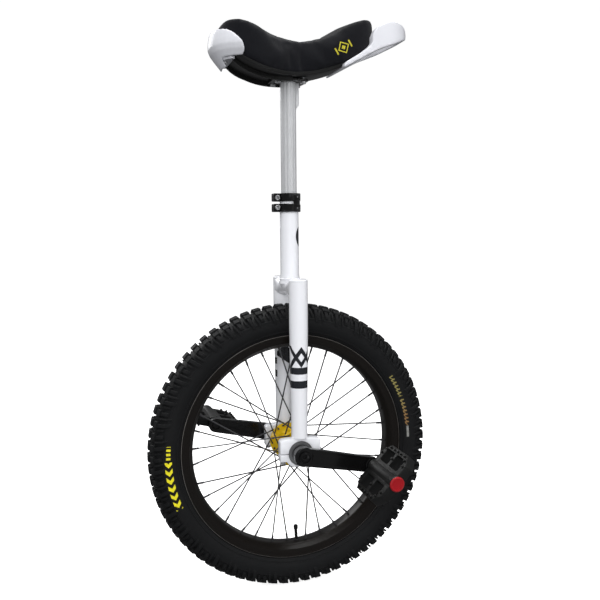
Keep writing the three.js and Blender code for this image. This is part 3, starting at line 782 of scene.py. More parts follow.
class UNICYCLE_OT_finishes(bpy.types.Operator):
    """Builds the shared effects and every material, and gives each frame node its own"""

    bl_idname = "unicycle.finishes"
    bl_label = "Finishes"

    def execute(self, context):
        settings = context.scene.unicycle_finish
        for build in (grain_effect, wear_effect, dust_effect, weave_effect, polar_effect):
            build()
        black, steel = settings.black_metal, settings.steel
        worn = (0.09, 0.09, 0.095)
        tyre_finish(settings)
        rim_finish(settings)
        paint_finish(settings)
        fabric_finish(settings)
        drawn_finish("post_alloy", settings.alloy, 0.2, 0.38, 0.4)
        drawn_finish("steel", steel, 0.18, 0.36)
        plain = (
            ("tube_rubber", (0.012, 0.012, 0.012), 0.6, 0.8, {}),
            ("spoke_black", black, 0.24, 0.4, {"metallic": 0.6, "edge": worn}),
            ("valve_metal", (0.02, 0.02, 0.02), 0.3, 0.5, {"metallic": 0.7, "edge": worn}),
            ("hub_yellow", settings.anodised, 0.24, 0.4,
             {"metallic": 0.45, "edge": (0.95, 0.72, 0.25), "coat": 0.3}),
            ("bearing_steel", lighter(steel, 0.3), 0.3, 0.45, {"metallic": 0.2}),
            ("bolt_steel", steel, 0.18, 0.34, {"metallic": 0.8, "edge": (0.8, 0.8, 0.82)}),
            ("black_alloy", black, 0.22, 0.36,
             {"metallic": 0.1, "edge": worn, "coat": 0.1, "dust": 0.03}),
            ("crank_black", black, 0.14, 0.26,
             {"metallic": 0.1, "depth": 0.01, "coat": 0.2, "dust": 0.03}),
            ("black_plastic", settings.black_plastic, 0.38, 0.55,
             {"scale": 900.0, "depth": 0.06, "dust": 0.04}),
            ("bushing_plastic", (0.02, 0.02, 0.02), 0.5, 0.6, {}),
            ("red_plastic", settings.red_plastic, 0.3, 0.45,
             {"scale": 700.0, "depth": 0.04, "coat": 0.2}),
            ("white_plastic", settings.white_plastic, 0.22, 0.38,
             {"scale": 240.0, "coat": 0.25, "dust": 0.1}),
        )
        for name, base, low, high, extra in plain:
            simple_finish(name, base, low, high, **extra).done()
        for name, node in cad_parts.items():
            piece = name.removesuffix("_right").removesuffix("_left")
            finish = NODE_FINISHES.get(piece, "steel")
            node.data.materials.clear()
            node.data.materials.append(bpy.data.materials[f"{finish}_finish"])
        return {"FINISHED"}


# Finishes of the nodes that keep their own shape; the others are hidden by their pieces.
NODE_FINISHES = {
    "inner_tube": "tube_rubber",
    "rim_strip": "tube_rubber",
    "bearing_inner": "bearing_steel",
    "pedal_bushing": "bushing_plastic",
}

# ---- wheel -----------------------------------------------------------------------------


def on_wheel(radius, y, angle=math.pi / 2):
    """A point of the wheel; the angle runs from +X towards +Z."""
    return AXLE + Vector((radius * math.cos(angle), y, radius * math.sin(angle)))


def tread_block(name, section, length_along, lean=0.0):
    """A block on top of the tyre: a section in (radius, y) given length along the tread."""
    highest = max(radius for radius, _ in section)
    outline = []
    for radius, y in section:
        back = length_along / 2 - lean * (highest - radius)
        outline.append(on_wheel(radius, y) - Vector((back, 0, 0)))
    piece = slab(name, outline, (length_along, 0, 0))
    return soften(piece, 0.7 * MM, 1, 30)


class UNICYCLE_OT_tyre(bpy.types.Operator):
    """Spins the casing and sets two pitches of blocks, copied round the tread"""

    bl_idname = "unicycle.tyre"
    bl_label = "Tyre"

    def execute(self, context):
        wheel = context.scene.unicycle_wheel
        base = TYRE_RADIUS - wheel.tread_depth
        outer = [
            (194.3, 14.5), (194.3, 19.4), (200.4, 19.8), (201.4, 22.8), (203.2, 23.6), (205.6, 25.2),
            (206.0, 26.4), (207.4, 26.6), (207.8, 26.1), (212, 28.0), (218, 29.3), (223, 29.5),
            (228.4, 28.9), (228.8, 29.5), (230.2, 29.1), (230.6, 28.2), (236, 25.6), (240.5, 21.5),
            (244, 15.5), (246.2, 8), (1000 * base, 0),
        ]
        inner = [(243, 0), (241, 9), (236, 19), (224, 25.5), (212, 24.5), (204, 20)]
        right = mm(outer, -1)
        left = [(radius, -y) for radius, y in reversed(right[:-1])]
        hollow_left = mm(reversed(inner))
        hollow_right = [(radius, -y) for radius, y in reversed(hollow_left[:-1])]
        casing = lathe("tyre_casing", right + left + hollow_left + hollow_right, steps=WHEEL_STEPS)
        blocks = []
        centre = [(244.5, 1.2), (244.5, 10.6), (252.6, 10.2), (253.5, 1.6)]
        second = [(241.5, 13.0), (238.5, 20.5), (246.6, 23.6), (250.6, 13.8)]
        long_rib = [
            (240, 20), (234, 25), (223.5, 28.6), (223.5, 29.9), (229, 30.9), (235, 30.2), (241, 27.4),
            (246, 23.4),
        ]
        short_rib = [
            (241, 19), (236, 24), (232, 26.4), (232, 28.9), (237, 28.6), (241.5, 25.8), (245, 22),
        ]
        pitch = TURN / (2 * wheel.knob_pairs)
        for side, sign in SIDES:
            for half in (0, 1):
                shift = half * pitch
                rib, fin = (long_rib, short_rib) if (half == 0) == (sign < 0) else (short_rib, long_rib)
                for name, section, share, lean, early in (
                    ("centre", centre, 1.0, 0.0, 0.0),
                    ("second", second, 0.86, 0.10, 0.04),
                    ("rib", rib, 0.48, 0.20, 0.06),
                    ("fin", fin, 0.26, 0.20, 0.50),
                ):
                    along = share * wheel.knob_length
                    piece = tread_block(f"{name}_block", mm(section, sign), along, lean)
                    piece.matrix_world = (
                        Matrix.Translation(AXLE)
                        @ Matrix.Rotation(-shift - early * pitch, 4, "Y")
                        @ Matrix.Translation(-AXLE)
                    )
                    blocks.append(settle(piece))
        tread = repeat_round(close_up(join("tread_blocks", blocks)), wheel.knob_pairs)
        tyre = join("tyre_moulded", [casing, tread])
        fit(tyre, "tyre_rubber", "wheel", "tyre_rubber", "tyre", angle=28)
        return {"FINISHED"}


class UNICYCLE_OT_rim(bpy.types.Operator):
    """Spins the double-walled rim"""

    bl_idname = "unicycle.rim"
    bl_label = "Rim"

    def execute(self, context):
        half = [
            (186.5, 10), (193.5, 14), (193.5, 19.2), (198.8, 19.8), (199.5, 20.6), (199.5, 22.0),
            (199.0, 22.5), (196.8, 22.5), (196.0, 21.9), (188, 21.9), (185.4, 21.2), (182.6, 17.4),
            (179.6, 13.8), (178.2, 10.4), (178, 5),
        ]
        rim = lathe("rim_extrusion", mirrored(mm(half, -1)), steps=WHEEL_STEPS)
        fit(rim, "rim_black", "wheel", "rim_black", "rim", angle=30)
        return {"FINISHED"}


def one_spoke(wheel, sign, angle, sweep, outside):
    """A spoke with its head, its bend in the flange and its nipple at the rim."""
    face_in, face_out = 26.0 * MM, 32.4 * MM
    leave, other = (face_out, face_in) if outside else (face_in, face_out)
    at_hub = on_wheel(wheel.spoke_circle, sign * leave, angle)
    at_rim = on_wheel(wheel.rim_bed + 2 * MM, sign * 4 * MM, angle + sweep)
    way = (at_rim - at_hub).normalized()
    head = on_wheel(wheel.spoke_circle, sign * other, angle)
    route = [head, on_wheel(wheel.spoke_circle, sign * (leave * 0.8 + other * 0.2), angle)]
    route += [at_hub + way * 2 * MM, at_rim - way * 3 * MM]
    thread = tube("spoke_wire", route, wheel.spoke_radius)
    thickness = 0.9 if other > leave else -0.9
    button = rod("spoke_head", head, head + Vector((0, sign * thickness * MM, 0)), 1.9 * MM, 8)
    nipple = rod("spoke_nipple", at_rim - way * 13 * MM, at_rim, 1.9 * MM, 6)
    return join("spoke", [thread, button, nipple])


class UNICYCLE_OT_spokes(bpy.types.Operator):
    """Makes one leading and one trailing spoke a side and copies them nine times"""

    bl_idname = "unicycle.spokes"
    bl_label = "Spokes"

    def execute(self, context):
        wheel = context.scene.unicycle_wheel
        for side, sign in SIDES:
            shift = LACING_STEP / 2 if sign > 0 else 0
            first = VALVE_ANGLE + LACING_STEP / 4 + shift
            leading = one_spoke(wheel, sign, first, LACING_SWEEP, True)
            trailing = one_spoke(wheel, sign, first + LACING_STEP, -LACING_SWEEP, False)
            spokes = repeat_round(join(f"spokes_laced_{side}", [leading, trailing]), 9)
            fit(spokes, "spoke_black", "wheel", "spoke_black", f"spokes_{side}")
        return {"FINISHED"}


class UNICYCLE_OT_valve(bpy.types.Operator):
    """Spins the threaded valve stem, its nut and its cap"""

    bl_idname = "unicycle.valve"
    bl_label = "Valve"

    def execute(self, context):
        thread = []
        for i in range(12):
            z = (160 + i * 1.3) * MM
            thread += [(3.0 * MM, z), (2.6 * MM, z + 0.65 * MM)]
        nut = [(3.0, 175.8), (5.2, 176), (5.2, 177.6), (3.0, 177.8), (3.0, 195.5), (0, 196)]
        stem_profile = [(0, 158 * MM), (2.4 * MM, 158 * MM), *thread, *mm(nut)]
        cap_profile = [(0, 150), (2.6, 150), (3.6, 151), (4, 152.4), (4, 157), (3.6, 157.7), (0, 157.7)]
        cap_profile = mm(cap_profile)
        turn = Matrix.Translation(AXLE) @ Matrix.Rotation(math.pi / 2 - VALVE_ANGLE, 4, "Y")
        for name, profile, finish, node in (
            ("valve_threaded", stem_profile, "valve_metal", "valve_stem"),
            ("valve_cap_ribbed", cap_profile, "black_plastic", "valve_cap"),
        ):
            piece = lathe(name, profile, (0, 0, 0), UP, 16, closed=False)
            piece.matrix_world = turn
            settle(piece)
            fit(piece, finish, "wheel", finish, node)
        return {"FINISHED"}


class UNICYCLE_OT_hub(bpy.types.Operator):
    """Spins the hub shell and drills the two rings of spoke holes"""

    bl_idname = "unicycle.hub"
    bl_label = "Hub"

    def execute(self, context):
        wheel = context.scene.unicycle_wheel
        half = [
            (11.3, 45.7), (14.4, 45.7), (15, 45.1), (15, 34), (16.2, 32.2), (19, 31), (22.6, 31),
            (23.2, 30.4), (24.4, 30.4), (25, 31), (31.4, 31), (32, 30.4), (32, 28.1), (31.4, 27.5),
            (24, 27.0), (19.4, 26.0), (17, 22.4), (16.4, 14),
        ]
        hub = lathe("hub_turned", mirrored(mm(half, -1)), steps=72)
        for _, sign in SIDES:
            shift = LACING_STEP / 2 if sign > 0 else 0
            first = VALVE_ANGLE + LACING_STEP / 4 + shift
            near, far = (on_wheel(wheel.spoke_circle, sign * y * MM, first) for y in (22, 38))
            cut(hub, repeat_round(rod("drill", near, far, 1.5 * MM, 10), 18))
        soften(hub, 0.35 * MM, 1, 40)
        fit(hub, "hub_yellow", "wheel", "hub_yellow", "hub_shell")
        return {"FINISHED"}


class UNICYCLE_OT_bearings(bpy.types.Operator):
    """Spins each bearing with its seal and the spacer outside it"""

    bl_idname = "unicycle.bearings"
    bl_label = "Bearings"

    def execute(self, context):
        race = [
            (15.2, 57.0), (18.0, 57.0), (18.4, 57.7), (20.4, 57.7), (21, 57.2), (21, 46.8), (20.4, 46.3),
            (18.4, 46.3), (18.0, 47.0), (15.2, 47.0),
        ]
        collar = [
            (11.3, 58.3), (14.0, 58.3), (14.4, 58.7), (14.4, 61), (13.8, 61.6), (13.8, 66.7),
            (11.3, 66.7),
        ]
        for side, sign in SIDES:
            profile = mm(race, sign)
            bearing = lathe(f"bearing_sealed_{side}", profile)
            fit(bearing, "bearing_steel", "frame", "bearing_steel", f"bearing_outer_{side}")
            profile = mm(collar, sign)
            spacer = lathe(f"spacer_turned_{side}", profile)
            fit(spacer, "black_alloy", "wheel", "black_alloy", f"spacer_{side}")
        return {"FINISHED"}


# ---- cranks and pedals -----------------------------------------------------------------


def pedal_centre(side):
    at = middle(f"pedal_cap_{side}")
    return Vector((at.x, 0, at.z))


def crank_angle(side):
    way = pedal_centre(side) - AXLE
    return math.atan2(way.z, way.x)


class UNICYCLE_OT_cranks(bpy.types.Operator):
    """Extrudes each crank, hollows its outer flank and adds the bolt with its round socket"""

    bl_idname = "unicycle.cranks"
    bl_label = "Cranks"

    def execute(self, context):
        reach = (pedal_centre("right") - AXLE).length
        for side, sign in SIDES:
            angle = crank_angle(side)
            lean = math.degrees(math.asin(2.5 * MM / reach))
            outline = arc((0, 0), 15.5 * MM, 90 - lean, 270 + lean, 20)
            outline += arc((reach, 0), 13 * MM, -90 + lean, 90 - lean, 18)
            arm = slab(
                f"crank_forged_{side}", [AXLE + Vector((x, sign * 73 * MM, z)) for x, z in outline],
                (0, sign * 12 * MM, 0),
            )
            edit(arm)
            mesh = bmesh.from_edit_mesh(arm.data)
            bpy.ops.mesh.select_all(action="DESELECT")
            bpy.ops.mesh.select_mode(type="FACE")
            for face in mesh.faces:
                face.select = face.normal.y * sign > 0.9
            bmesh.update_edit_mesh(arm.data)
            bpy.ops.mesh.inset(thickness=3.6 * MM)
            bpy.ops.transform.translate(value=(0, -sign * 1.1 * MM, 0))
            bpy.ops.object.mode_set(mode="OBJECT")
            soften(arm, 1.0 * MM, 3, 40)
            boss_profile = [
                (10.3, 67), (16.2, 67), (17, 67.8), (17, 82.0), (16.0, 83.4), (14.6, 84.2), (11.8, 84.6),
                (11, 84.0), (11, 78.0), (10.3, 78.0),
            ]
            boss = lathe("crank_boss", mm(boss_profile, sign), steps=56)
            eye_profile = [
                (7.4, 72.6), (11.4, 72.6), (12.6, 73.6), (12.6, 84.2), (11.6, 85), (8.2, 85), (7.4, 84.2),
            ]
            at_eye = AXLE + Vector((reach, 0, 0))
            eye = lathe("crank_eye", mm(eye_profile, sign), at_eye)
            for at, radius in ((AXLE, 10.6 * MM), (at_eye, 7.6 * MM)):
                near, far = (at + sign * y * MM * ACROSS for y in (60, 95))
                cut(arm, rod("bore", near, far, radius, 40))
            crank = join(f"crank_forged_{side}", [arm, boss, eye])
            crank.matrix_world = (
                Matrix.Translation(AXLE) @ Matrix.Rotation(-angle, 4, "Y") @ Matrix.Translation(-AXLE)
            )
            settle(crank)
            fit(crank, "crank_black", "wheel", "crank_black", f"crank_{side}")
            bolt_profile = [
                (0, 79), (10.4, 79), (10.4, 81.0), (8.6, 81.0), (8.2, 83.0), (7.6, 83.4), (4.6, 83.4),
                (4.0, 82.8), (4.0, 80.2), (0, 80.2),
            ]
            profile = mm(bolt_profile, sign)
            bolt = lathe(f"crank_bolt_socket_{side}", profile, closed=False)
            fit(bolt, "black_alloy", "wheel", "black_alloy", f"crank_bolt_{side}")
        return {"FINISHED"}


class UNICYCLE_OT_pedals(bpy.types.Operator):
    """Cuts each platform from a block, adds ribs and pins, and turns it to its tilt"""

    bl_idname = "unicycle.pedals"
    bl_label = "Pedals"

    def execute(self, context):
        sizes = context.scene.unicycle_frame
        for side, sign in SIDES:
            centre = pedal_centre(side)
            tilt = math.radians(46 if side == "right" else -15)
            place = Matrix.Translation(centre) @ Matrix.Rotation(-tilt, 4, "Y")
            body = self.platform(side, sign, sizes)
            spindle_profile = [
                (0, 73), (5.6, 73), (6.8, 74), (6.8, 85.3), (9, 85.6), (9, 90.0), (8.4, 90.4), (6.5, 91),
                (6.5, 181), (0, 181),
            ]
            profile = mm(spindle_profile, sign)
            spindle = lathe(f"pedal_axle_{side}", profile, (0, 0, 0), steps=32, closed=False)
            cap_profile = [
                (0, 186.3), (12.2, 186.3), (12.5, 186.8), (12.4, 187.6), (11.6, 188.5), (10.2, 188.9),
                (9.6, 188.6), (8.8, 188.5), (0, 188.8),
            ]
            profile = mm(cap_profile, sign)
            cap = lathe(f"pedal_end_cap_{side}", profile, (0, 0, 0), steps=40, closed=False)
            for piece, finish, rider, node in (
                (body, "black_plastic", f"pedal_{side}", f"pedal_body_{side}"),
                (spindle, "black_alloy", "wheel", f"pedal_spindle_{side}"),
                (cap, "red_plastic", f"pedal_{side}", f"pedal_cap_{side}"),
            ):
                piece.matrix_world = place
                settle(piece)
                fit(piece, finish, rider, finish, node)
        return {"FINISHED"}

    def platform(self, side, sign, sizes):
        near, far, half, corner, thick = 91 * MM, 186 * MM, 47 * MM, 16 * MM, 8.5 * MM
        plan = [
            (-half, near + corner), (-half + corner, near), (half - corner, near), (half, near + corner),
            (half, far - corner), (half - corner, far), (-half + corner, far), (-half, far - corner),
        ]
        body = slab(f"pedal_moulded_{side}", [(x, sign * y, -thick) for x, y in plan], (0, 0, 2 * thick))
        mid = (near + far) / 2
        for end in (-1, 1):
            for y0, y1 in ((near + 13 * MM, mid - 3.5 * MM), (mid + 3.5 * MM, far - 13 * MM)):
                x0, x1 = sorted((end * 15 * MM, end * 38 * MM))
                ys = sorted((sign * y0, sign * y1))
                window = block("window", (x0, ys[0], -20 * MM), (x1, ys[1], 20 * MM))
                cut(body, soften(window, 3 * MM, 2, 60))
            # shallow pockets in the front and rear edges
            for y in (near + 26 * MM, mid, far - 26 * MM):
                x0, x1 = sorted((end * (half - 3.4 * MM), end * (half + 5 * MM)))
                ys = sorted((sign * (y - 7 * MM), sign * (y + 7 * MM)))
                cut(body, block("pocket", (x0, ys[0], -4.6 * MM), (x1, ys[1], 4.6 * MM)))
        soften(body, 1.1 * MM, 2, 40)
        barrel_profile = [
            (9.3, 91), (12.2, 91), (13, 92), (13, 108), (12.2, 110), (12.2, 167), (13, 169), (13, 185),
            (12.2, 186), (9.3, 186),
        ]
        parts = [
            body,
            lathe("barrel", mm(barrel_profile, sign), (0, 0, 0), steps=40),
        ]
        places = [(x, y) for x in (-42.5, 42.5) for y in (112, 126, 138.5, 151, 165)]
        places += [(x, y) for x in (-27, 27) for y in (97, 138.5, 180)]
        places += [(x, y) for x in (-36.5, 36.5) for y in (103, 174)]
        for up in (-1, 1):
            for x, y in places:
                foot = Vector((x * MM, sign * y * MM, up * (thick - MM)))
                top = foot + Vector((0, 0, up * (sizes.pin_height + MM)))
                pin = rod("pin", foot, top, sizes.pin_radius, 10)
                parts.append(soften(pin, 0.5 * MM, 1, 60))
        return join(f"pedal_moulded_{side}", parts)


# ---- frame -----------------------------------------------------------------------------


def bead(name, centre, axis, radius, thickness, drops=44):
    """A weld bead: a ring with one drop of weld copied evenly round it."""
    profile = [(radius + x, y) for x, y in arc((0, 0), thickness, 0, 315, 7)]
    ring = lathe(name, profile, centre, axis, 2 * drops)
    deselect()
    at = Vector(centre) + Vector((radius, 0, 0))
    bpy.ops.mesh.primitive_uv_sphere_add(segments=10, ring_count=6, radius=thickness * 1.12, location=at)
    drop = settle(named("weld_drop"))
    edit(drop)
    bpy.ops.transform.resize(value=(1, 0.8, 1), center_override=at)
    bpy.ops.object.mode_set(mode="OBJECT")
    return join(name, [ring, repeat_round(drop, drops, centre, axis)])


class UNICYCLE_OT_fork(bpy.types.Operator):
    """Spins the seat tube, the crown and the legs with their caps, and lays the weld bead at the foot of
    the seat tube
    """

    bl_idname = "unicycle.fork"
    bl_label = "Fork"

    def execute(self, context):
        sizes = context.scene.unicycle_frame
        crown_z = middle("crown").z
        tube_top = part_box("seat_tube")[1].z
        flare = mm([(13.9, -2), (18.6, 6), (17.4, 13.5), (16.6, 18), (16.2, 24)])
        tube_profile = [
            *[(radius, crown_z + rise) for radius, rise in flare],
            (16.2 * MM, tube_top - 0.6 * MM), (15.6 * MM, tube_top), (13.9 * MM, tube_top),
        ]
        tube_piece = lathe("seat_tube_drawn", tube_profile, (0, 0, 0), UP, 64)
        slot = block("slot", (-20 * MM, -1.5 * MM, 640 * MM), (-8 * MM, 1.5 * MM, tube_top + 5 * MM))
        end_hole = rod("slot_end", (-20 * MM, 0, 640 * MM), (-8 * MM, 0, 640 * MM), 2.6 * MM, 20)
        cut(tube_piece, slot, end_hole)
        fit(tube_piece, "white_paint", "frame", "white_paint", "seat_tube")
        half = [(14, 0), (14, 24), (14.6, 30), (16.2, 35), (17.4, 38.5), (17.4, 50)]
        lower = [(radius, -y) for radius, y in reversed(half)]
        crown_profile = mm([(0, -50), *lower, *half[1:], (0, 50)])
        crown_at = (0, 0, crown_z)
        crown = lathe("crown_tube", crown_profile, crown_at, ACROSS, 56, closed=False)
        corner = Vector((15.4 * MM, 60 * MM, 30 * MM))
        narrow = block("narrow", Vector(crown_at) - corner, Vector(crown_at) + corner)
        combine(crown, narrow, "INTERSECT")
        beads = [bead("weld", (0, 0, crown_z + 13.5 * MM), UP, 17.0 * MM, sizes.weld_radius)]
        join("crown_tube", [crown, *beads])
        fit(crown, "white_paint", "frame", "white_paint", "crown")
        for side, sign in SIDES:
            self.leg(side, sign)
        return {"FINISHED"}

    def leg(self, side, sign):
        at = (0, sign * LEG_Y, 0)
        low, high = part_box(f"leg_{side}")
        leg_profile = [
            (12.4 * MM, low.z), (14 * MM, low.z), (14 * MM, low.z + 20 * MM), (15.2 * MM, 400 * MM),
            (16 * MM, 470 * MM), (16 * MM, high.z), (14.4 * MM, high.z), (14.4 * MM, 470 * MM),
        ]
        leg = lathe(f"leg_drawn_{side}", leg_profile, at, UP, 56)
        fit(leg, "white_paint", "frame", "white_paint", f"leg_{side}")
        low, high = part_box(f"leg_cap_{side}")
        cap_profile = [(0, low.z), (16 * MM, low.z)]
        cap_profile += arc((12.4 * MM, high.z - 3.6 * MM), 3.6 * MM, 0, 84, 6)
        cap_profile += [(0, high.z)]
        cap = lathe(f"leg_cap_domed_{side}", cap_profile, at, UP, 56, closed=False)
        fit(cap, "white_paint", "frame", "white_paint", f"leg_cap_{side}")


class UNICYCLE_OT_holders(bpy.types.Operator):
    """Extrudes the split bearing holders and adds the bolts that close them"""

    bl_idname = "unicycle.holders"
    bl_label = "Bearing holders"

    def execute(self, context):
        seat = 21.3 * MM
        for side, sign in SIDES:
            for half, up in (("upper", 1), ("lower", -1)):
                upper = [(36, 0.5), (36, 21.5), (32.5, 25), (20, 26.5)]
                lower = [(36, 0.5), (36, 13), (25, 13), (21, 18), (14, 23)]
                outline = [(x * MM, z * MM) for x, z in (upper if up > 0 else lower)]
                outline += [(-x, z) for x, z in reversed(outline)]
                edge = math.degrees(math.asin(0.5 * MM / seat))
                outline += arc((0, 0), seat, 180 - edge, edge, 24)
                points = [AXLE + Vector((x, sign * 44 * MM, up * z)) for x, z in outline]
                holder = slab(f"holder_cast_{half}_{side}", points, (0, sign * 16 * MM, 0))
                for x in (-30, 30):
                    start = AXLE + Vector((x * MM, sign * LEG_Y, -2 * MM * up))
                    cut(holder, rod("drill", start, start + UP * 18 * MM * up, 3.3 * MM))
                soften(holder, 1.2 * MM, 3, 35)
                fit(holder, "white_paint", "frame", "white_paint", f"holder_{half}_{side}")
            for end, x in (("rear", -30), ("front", 30)):
                at = AXLE + Vector((x * MM, sign * LEG_Y, 0))
                bolt = cap_screw(f"holder_screw_{side}_{end}", at - UP * 13.3 * MM, -UP, 4.8, 4.7, 3, 23)
                fit(bolt, "bolt_steel", "frame", "bolt_steel", f"holder_bolt_{side}_{end}")
        return {"FINISHED"}


def cap_screw(name, seat_point, head_way, head_radius, head_height, shank_radius, shank_length):
    """A socket-head screw; sizes in millimetres, the head points along head_way."""
    profile = [
        (0, -shank_length), (shank_radius - 0.5, -shank_length), (shank_radius, -shank_length + 0.6),
        (shank_radius, 0), (head_radius, 0), (head_radius, head_height - 0.6),
        (head_radius - 0.6, head_height), (head_radius * 0.56, head_height),
        (head_radius * 0.52, head_height - 0.5), (head_radius * 0.52, head_height * 0.35),
        (0, head_height * 0.3),
    ]
    screw = lathe(name, mm(profile), (0, 0, 0), UP, 24, closed=False)
    turn = Vector(head_way).to_track_quat("Z", "Y").to_matrix().to_4x4()
    screw.matrix_world = Matrix.Translation(Vector(seat_point)) @ turn
    return settle(screw)


class UNICYCLE_OT_clamp(bpy.types.Operator):
    """Spins the double clamp, adds its ears, saws its slots and adds the screws and nuts"""

    bl_idname = "unicycle.clamp"
    bl_label = "Seat clamp"

    def execute(self, context):
        low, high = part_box("seat_clamp")
        mid = (low.z + high.z) / 2
        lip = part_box("seat_tube")[1].z + 0.3 * MM
        profile = [
            (16.5 * MM, low.z), (19.2 * MM, low.z), (19.9 * MM, low.z + 0.7 * MM),
            (19.9 * MM, mid - 3.6 * MM),
            (19.0 * MM, mid - 2.6 * MM), (19.0 * MM, mid + 2.6 * MM), (19.9 * MM, mid + 3.6 * MM),
            (19.9 * MM, high.z - 0.7 * MM), (19.2 * MM, high.z), (13.9 * MM, high.z), (13.9 * MM, lip),
            (16.5 * MM, lip),
        ]
        clamp = lathe("clamp_machined", profile, (0, 0, 0), UP, 72)
        for z0, z1 in ((low.z, mid - 2 * MM), (mid + 2 * MM, high.z)):
            ears = block("ears", (low.x, -9 * MM, z0), (-17.2 * MM, 9 * MM, z1))
            combine(clamp, soften(ears, 1.6 * MM, 3, 60), "UNION")
        cut(clamp, block("saw", (-40 * MM, -1.5 * MM, 650 * MM), (-10 * MM, 1.5 * MM, 710 * MM)))
        cut(clamp, block("saw", (-40 * MM, -30 * MM, mid - 2 * MM), (3 * MM, 30 * MM, mid + 2 * MM)))
        soften(clamp, 0.4 * MM, 1, 50)
        fit(clamp, "black_alloy", "frame", "black_alloy", "seat_clamp")
        pins = []
        for z in (low.z + 6.5 * MM, high.z - 6.5 * MM):
            way = Vector((math.cos(math.radians(-58)), math.sin(math.radians(-58)), 0))
            pin = rod("pin", way * 15 * MM + UP * z, way * 20.3 * MM + UP * z, 1.3 * MM, 16)
            pins.append(soften(pin, 0.3 * MM, 2, 60))
        fit(join("clamp_pins", pins), "bolt_steel", "frame", "bolt_steel")
        for level in ("lower", "upper"):
            at = middle(f"clamp_nut_{level}")
            seat = (at.x, -9.3 * MM, at.z)
            screw = cap_screw(f"clamp_screw_{level}", seat, -ACROSS, 4.3, 4.2, 2.5, 21)
            fit(screw, "bolt_steel", "frame", "bolt_steel", f"clamp_bolt_{level}")
            nut_profile = [(2.8, 9.3), (4.0, 9.3), (4.3, 9.7), (4.3, 12.1), (4.0, 12.5), (2.8, 12.5)]
            nut = lathe(
                f"clamp_barrel_{level}", mm(nut_profile),
                (at.x, 0, at.z), ACROSS, 24,
            )
            fit(nut, "bolt_steel", "frame", "bolt_steel", f"clamp_nut_{level}")
        return {"FINISHED"}


# ---- seatpost and saddle ---------------------------------------------------------------


class UNICYCLE_OT_seatpost(bpy.types.Operator):
    """Extrudes the fluted post with its rib, and the plate with its four screws"""

    bl_idname = "unicycle.seatpost"
    bl_label = "Seatpost"

    def execute(self, context):
        sizes = context.scene.unicycle_frame
        low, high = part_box("seatpost")
        steps = 12 * sizes.flute_count
        outline = []
        for i in range(steps):
            angle = TURN * i / steps
            wave = 0.5 + 0.5 * math.cos(sizes.flute_count * angle)
            radius = 13.6 * MM - sizes.flute_depth * max(0.0, 1.6 * wave - 0.6)
            outline.append((radius * math.cos(angle), radius * math.sin(angle), low.z))
        post = slab("seatpost_fluted", outline, (0, 0, high.z - low.z))
        bore = rod("bore", (0, 0, low.z - 10 * MM), (0, 0, high.z - 6 * MM), 11.6 * MM, 40)
        cut(post, bore)
        rib = slab(
            "rib", [(12 * MM, -3 * MM, 838 * MM), (high.x, -3 * MM, 848 * MM), (high.x, -3 * MM, high.z),
                    (12 * MM, -3 * MM, high.z)], (0, 6 * MM, 0),
        )
        join("seatpost_fluted", [post, soften(rib, 1.2 * MM, 2, 50)])
        fit(post, "post_alloy", "saddle", "post_alloy", "seatpost")
        low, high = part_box("post_plate")
        plate = block("post_plate_pressed", low, high)
        edit(plate)
        mesh = bmesh.from_edit_mesh(plate.data)
        bpy.ops.mesh.select_mode(type="EDGE")
        bpy.ops.mesh.select_all(action="DESELECT")
        for edge in mesh.edges:
            ends = [vertex.co for vertex in edge.verts]
            edge.select = abs(ends[0].z - ends[1].z) > MM
        bmesh.update_edit_mesh(plate.data)
        bpy.ops.mesh.bevel(offset=8 * MM, segments=6, affect="EDGES")
        bpy.ops.object.mode_set(mode="OBJECT")
        soften(plate, 0.6 * MM, 2, 40)
        fit(plate, "black_alloy", "saddle", "black_alloy", "post_plate")
        for end in ("rear", "front"):
            for side, _ in SIDES:
                at = middle(f"seat_bolt_{end}_{side}")
                seat_z = low.z - 0.3 * MM
                screw = cap_screw(f"seat_screw_{end}_{side}", (at.x, at.y, seat_z), -UP, 5, 4, 3, 7)
                fit(screw, "bolt_steel", "saddle", "bolt_steel", f"seat_bolt_{end}_{side}")
        return {"FINISHED"}


# Side view of the pad in x and z, from the rear to the front, in millimetres.
PAD_TOP = [
    (-126, 950), (-120, 966), (-106, 975), (-73, 966), (-45, 953), (-20, 946), (14, 944), (48, 951),
    (73, 964), (99, 979), (122, 988), (138, 991), (150, 980),
]
PAD_BOTTOM = [
    (-122, 943), (-110, 929), (-87, 911), (-58, 899), (-30, 894), (0, 893.6), (30, 897), (60, 904),
    (89, 914), (112, 927), (132, 941), (146, 956),
]
# Half the width of the pad along its length.
PAD_PLAN = [
    (-126, 0), (-120, 28), (-102, 50), (-76, 60), (-44, 56), (0, 43), (45, 38), (90, 41), (122, 43),
    (143, 32), (152, 0),
]


def pad_plan(grow):
    """The plan outline of the pad, moved outwards by grow millimetres."""
    knots = PAD_PLAN + [(x, -y) for x, y in reversed(PAD_PLAN[1:-1])]
    line = smooth_line(knots, 84, closed=True)
    outline = []
    for i, point in enumerate(line):
        way = (line[(i + 1) % len(line)] - line[i - 1]).normalized()
        outline.append((point.x - way.y * grow, point.y + way.x * grow))
    return outline


def profile_slab(name, side_outline, plan_outline):
    """What two outlines share: one drawn in x and z, one in x and y; millimetres."""
    side = slab(name, upright(side_outline, -SADDLE_REACH), (0, 2 * SADDLE_REACH, 0))
    plan = slab("plan", laid_flat(plan_outline, 0.8), (0, 0, 0.3))
    return combine(side, plan, "INTERSECT")


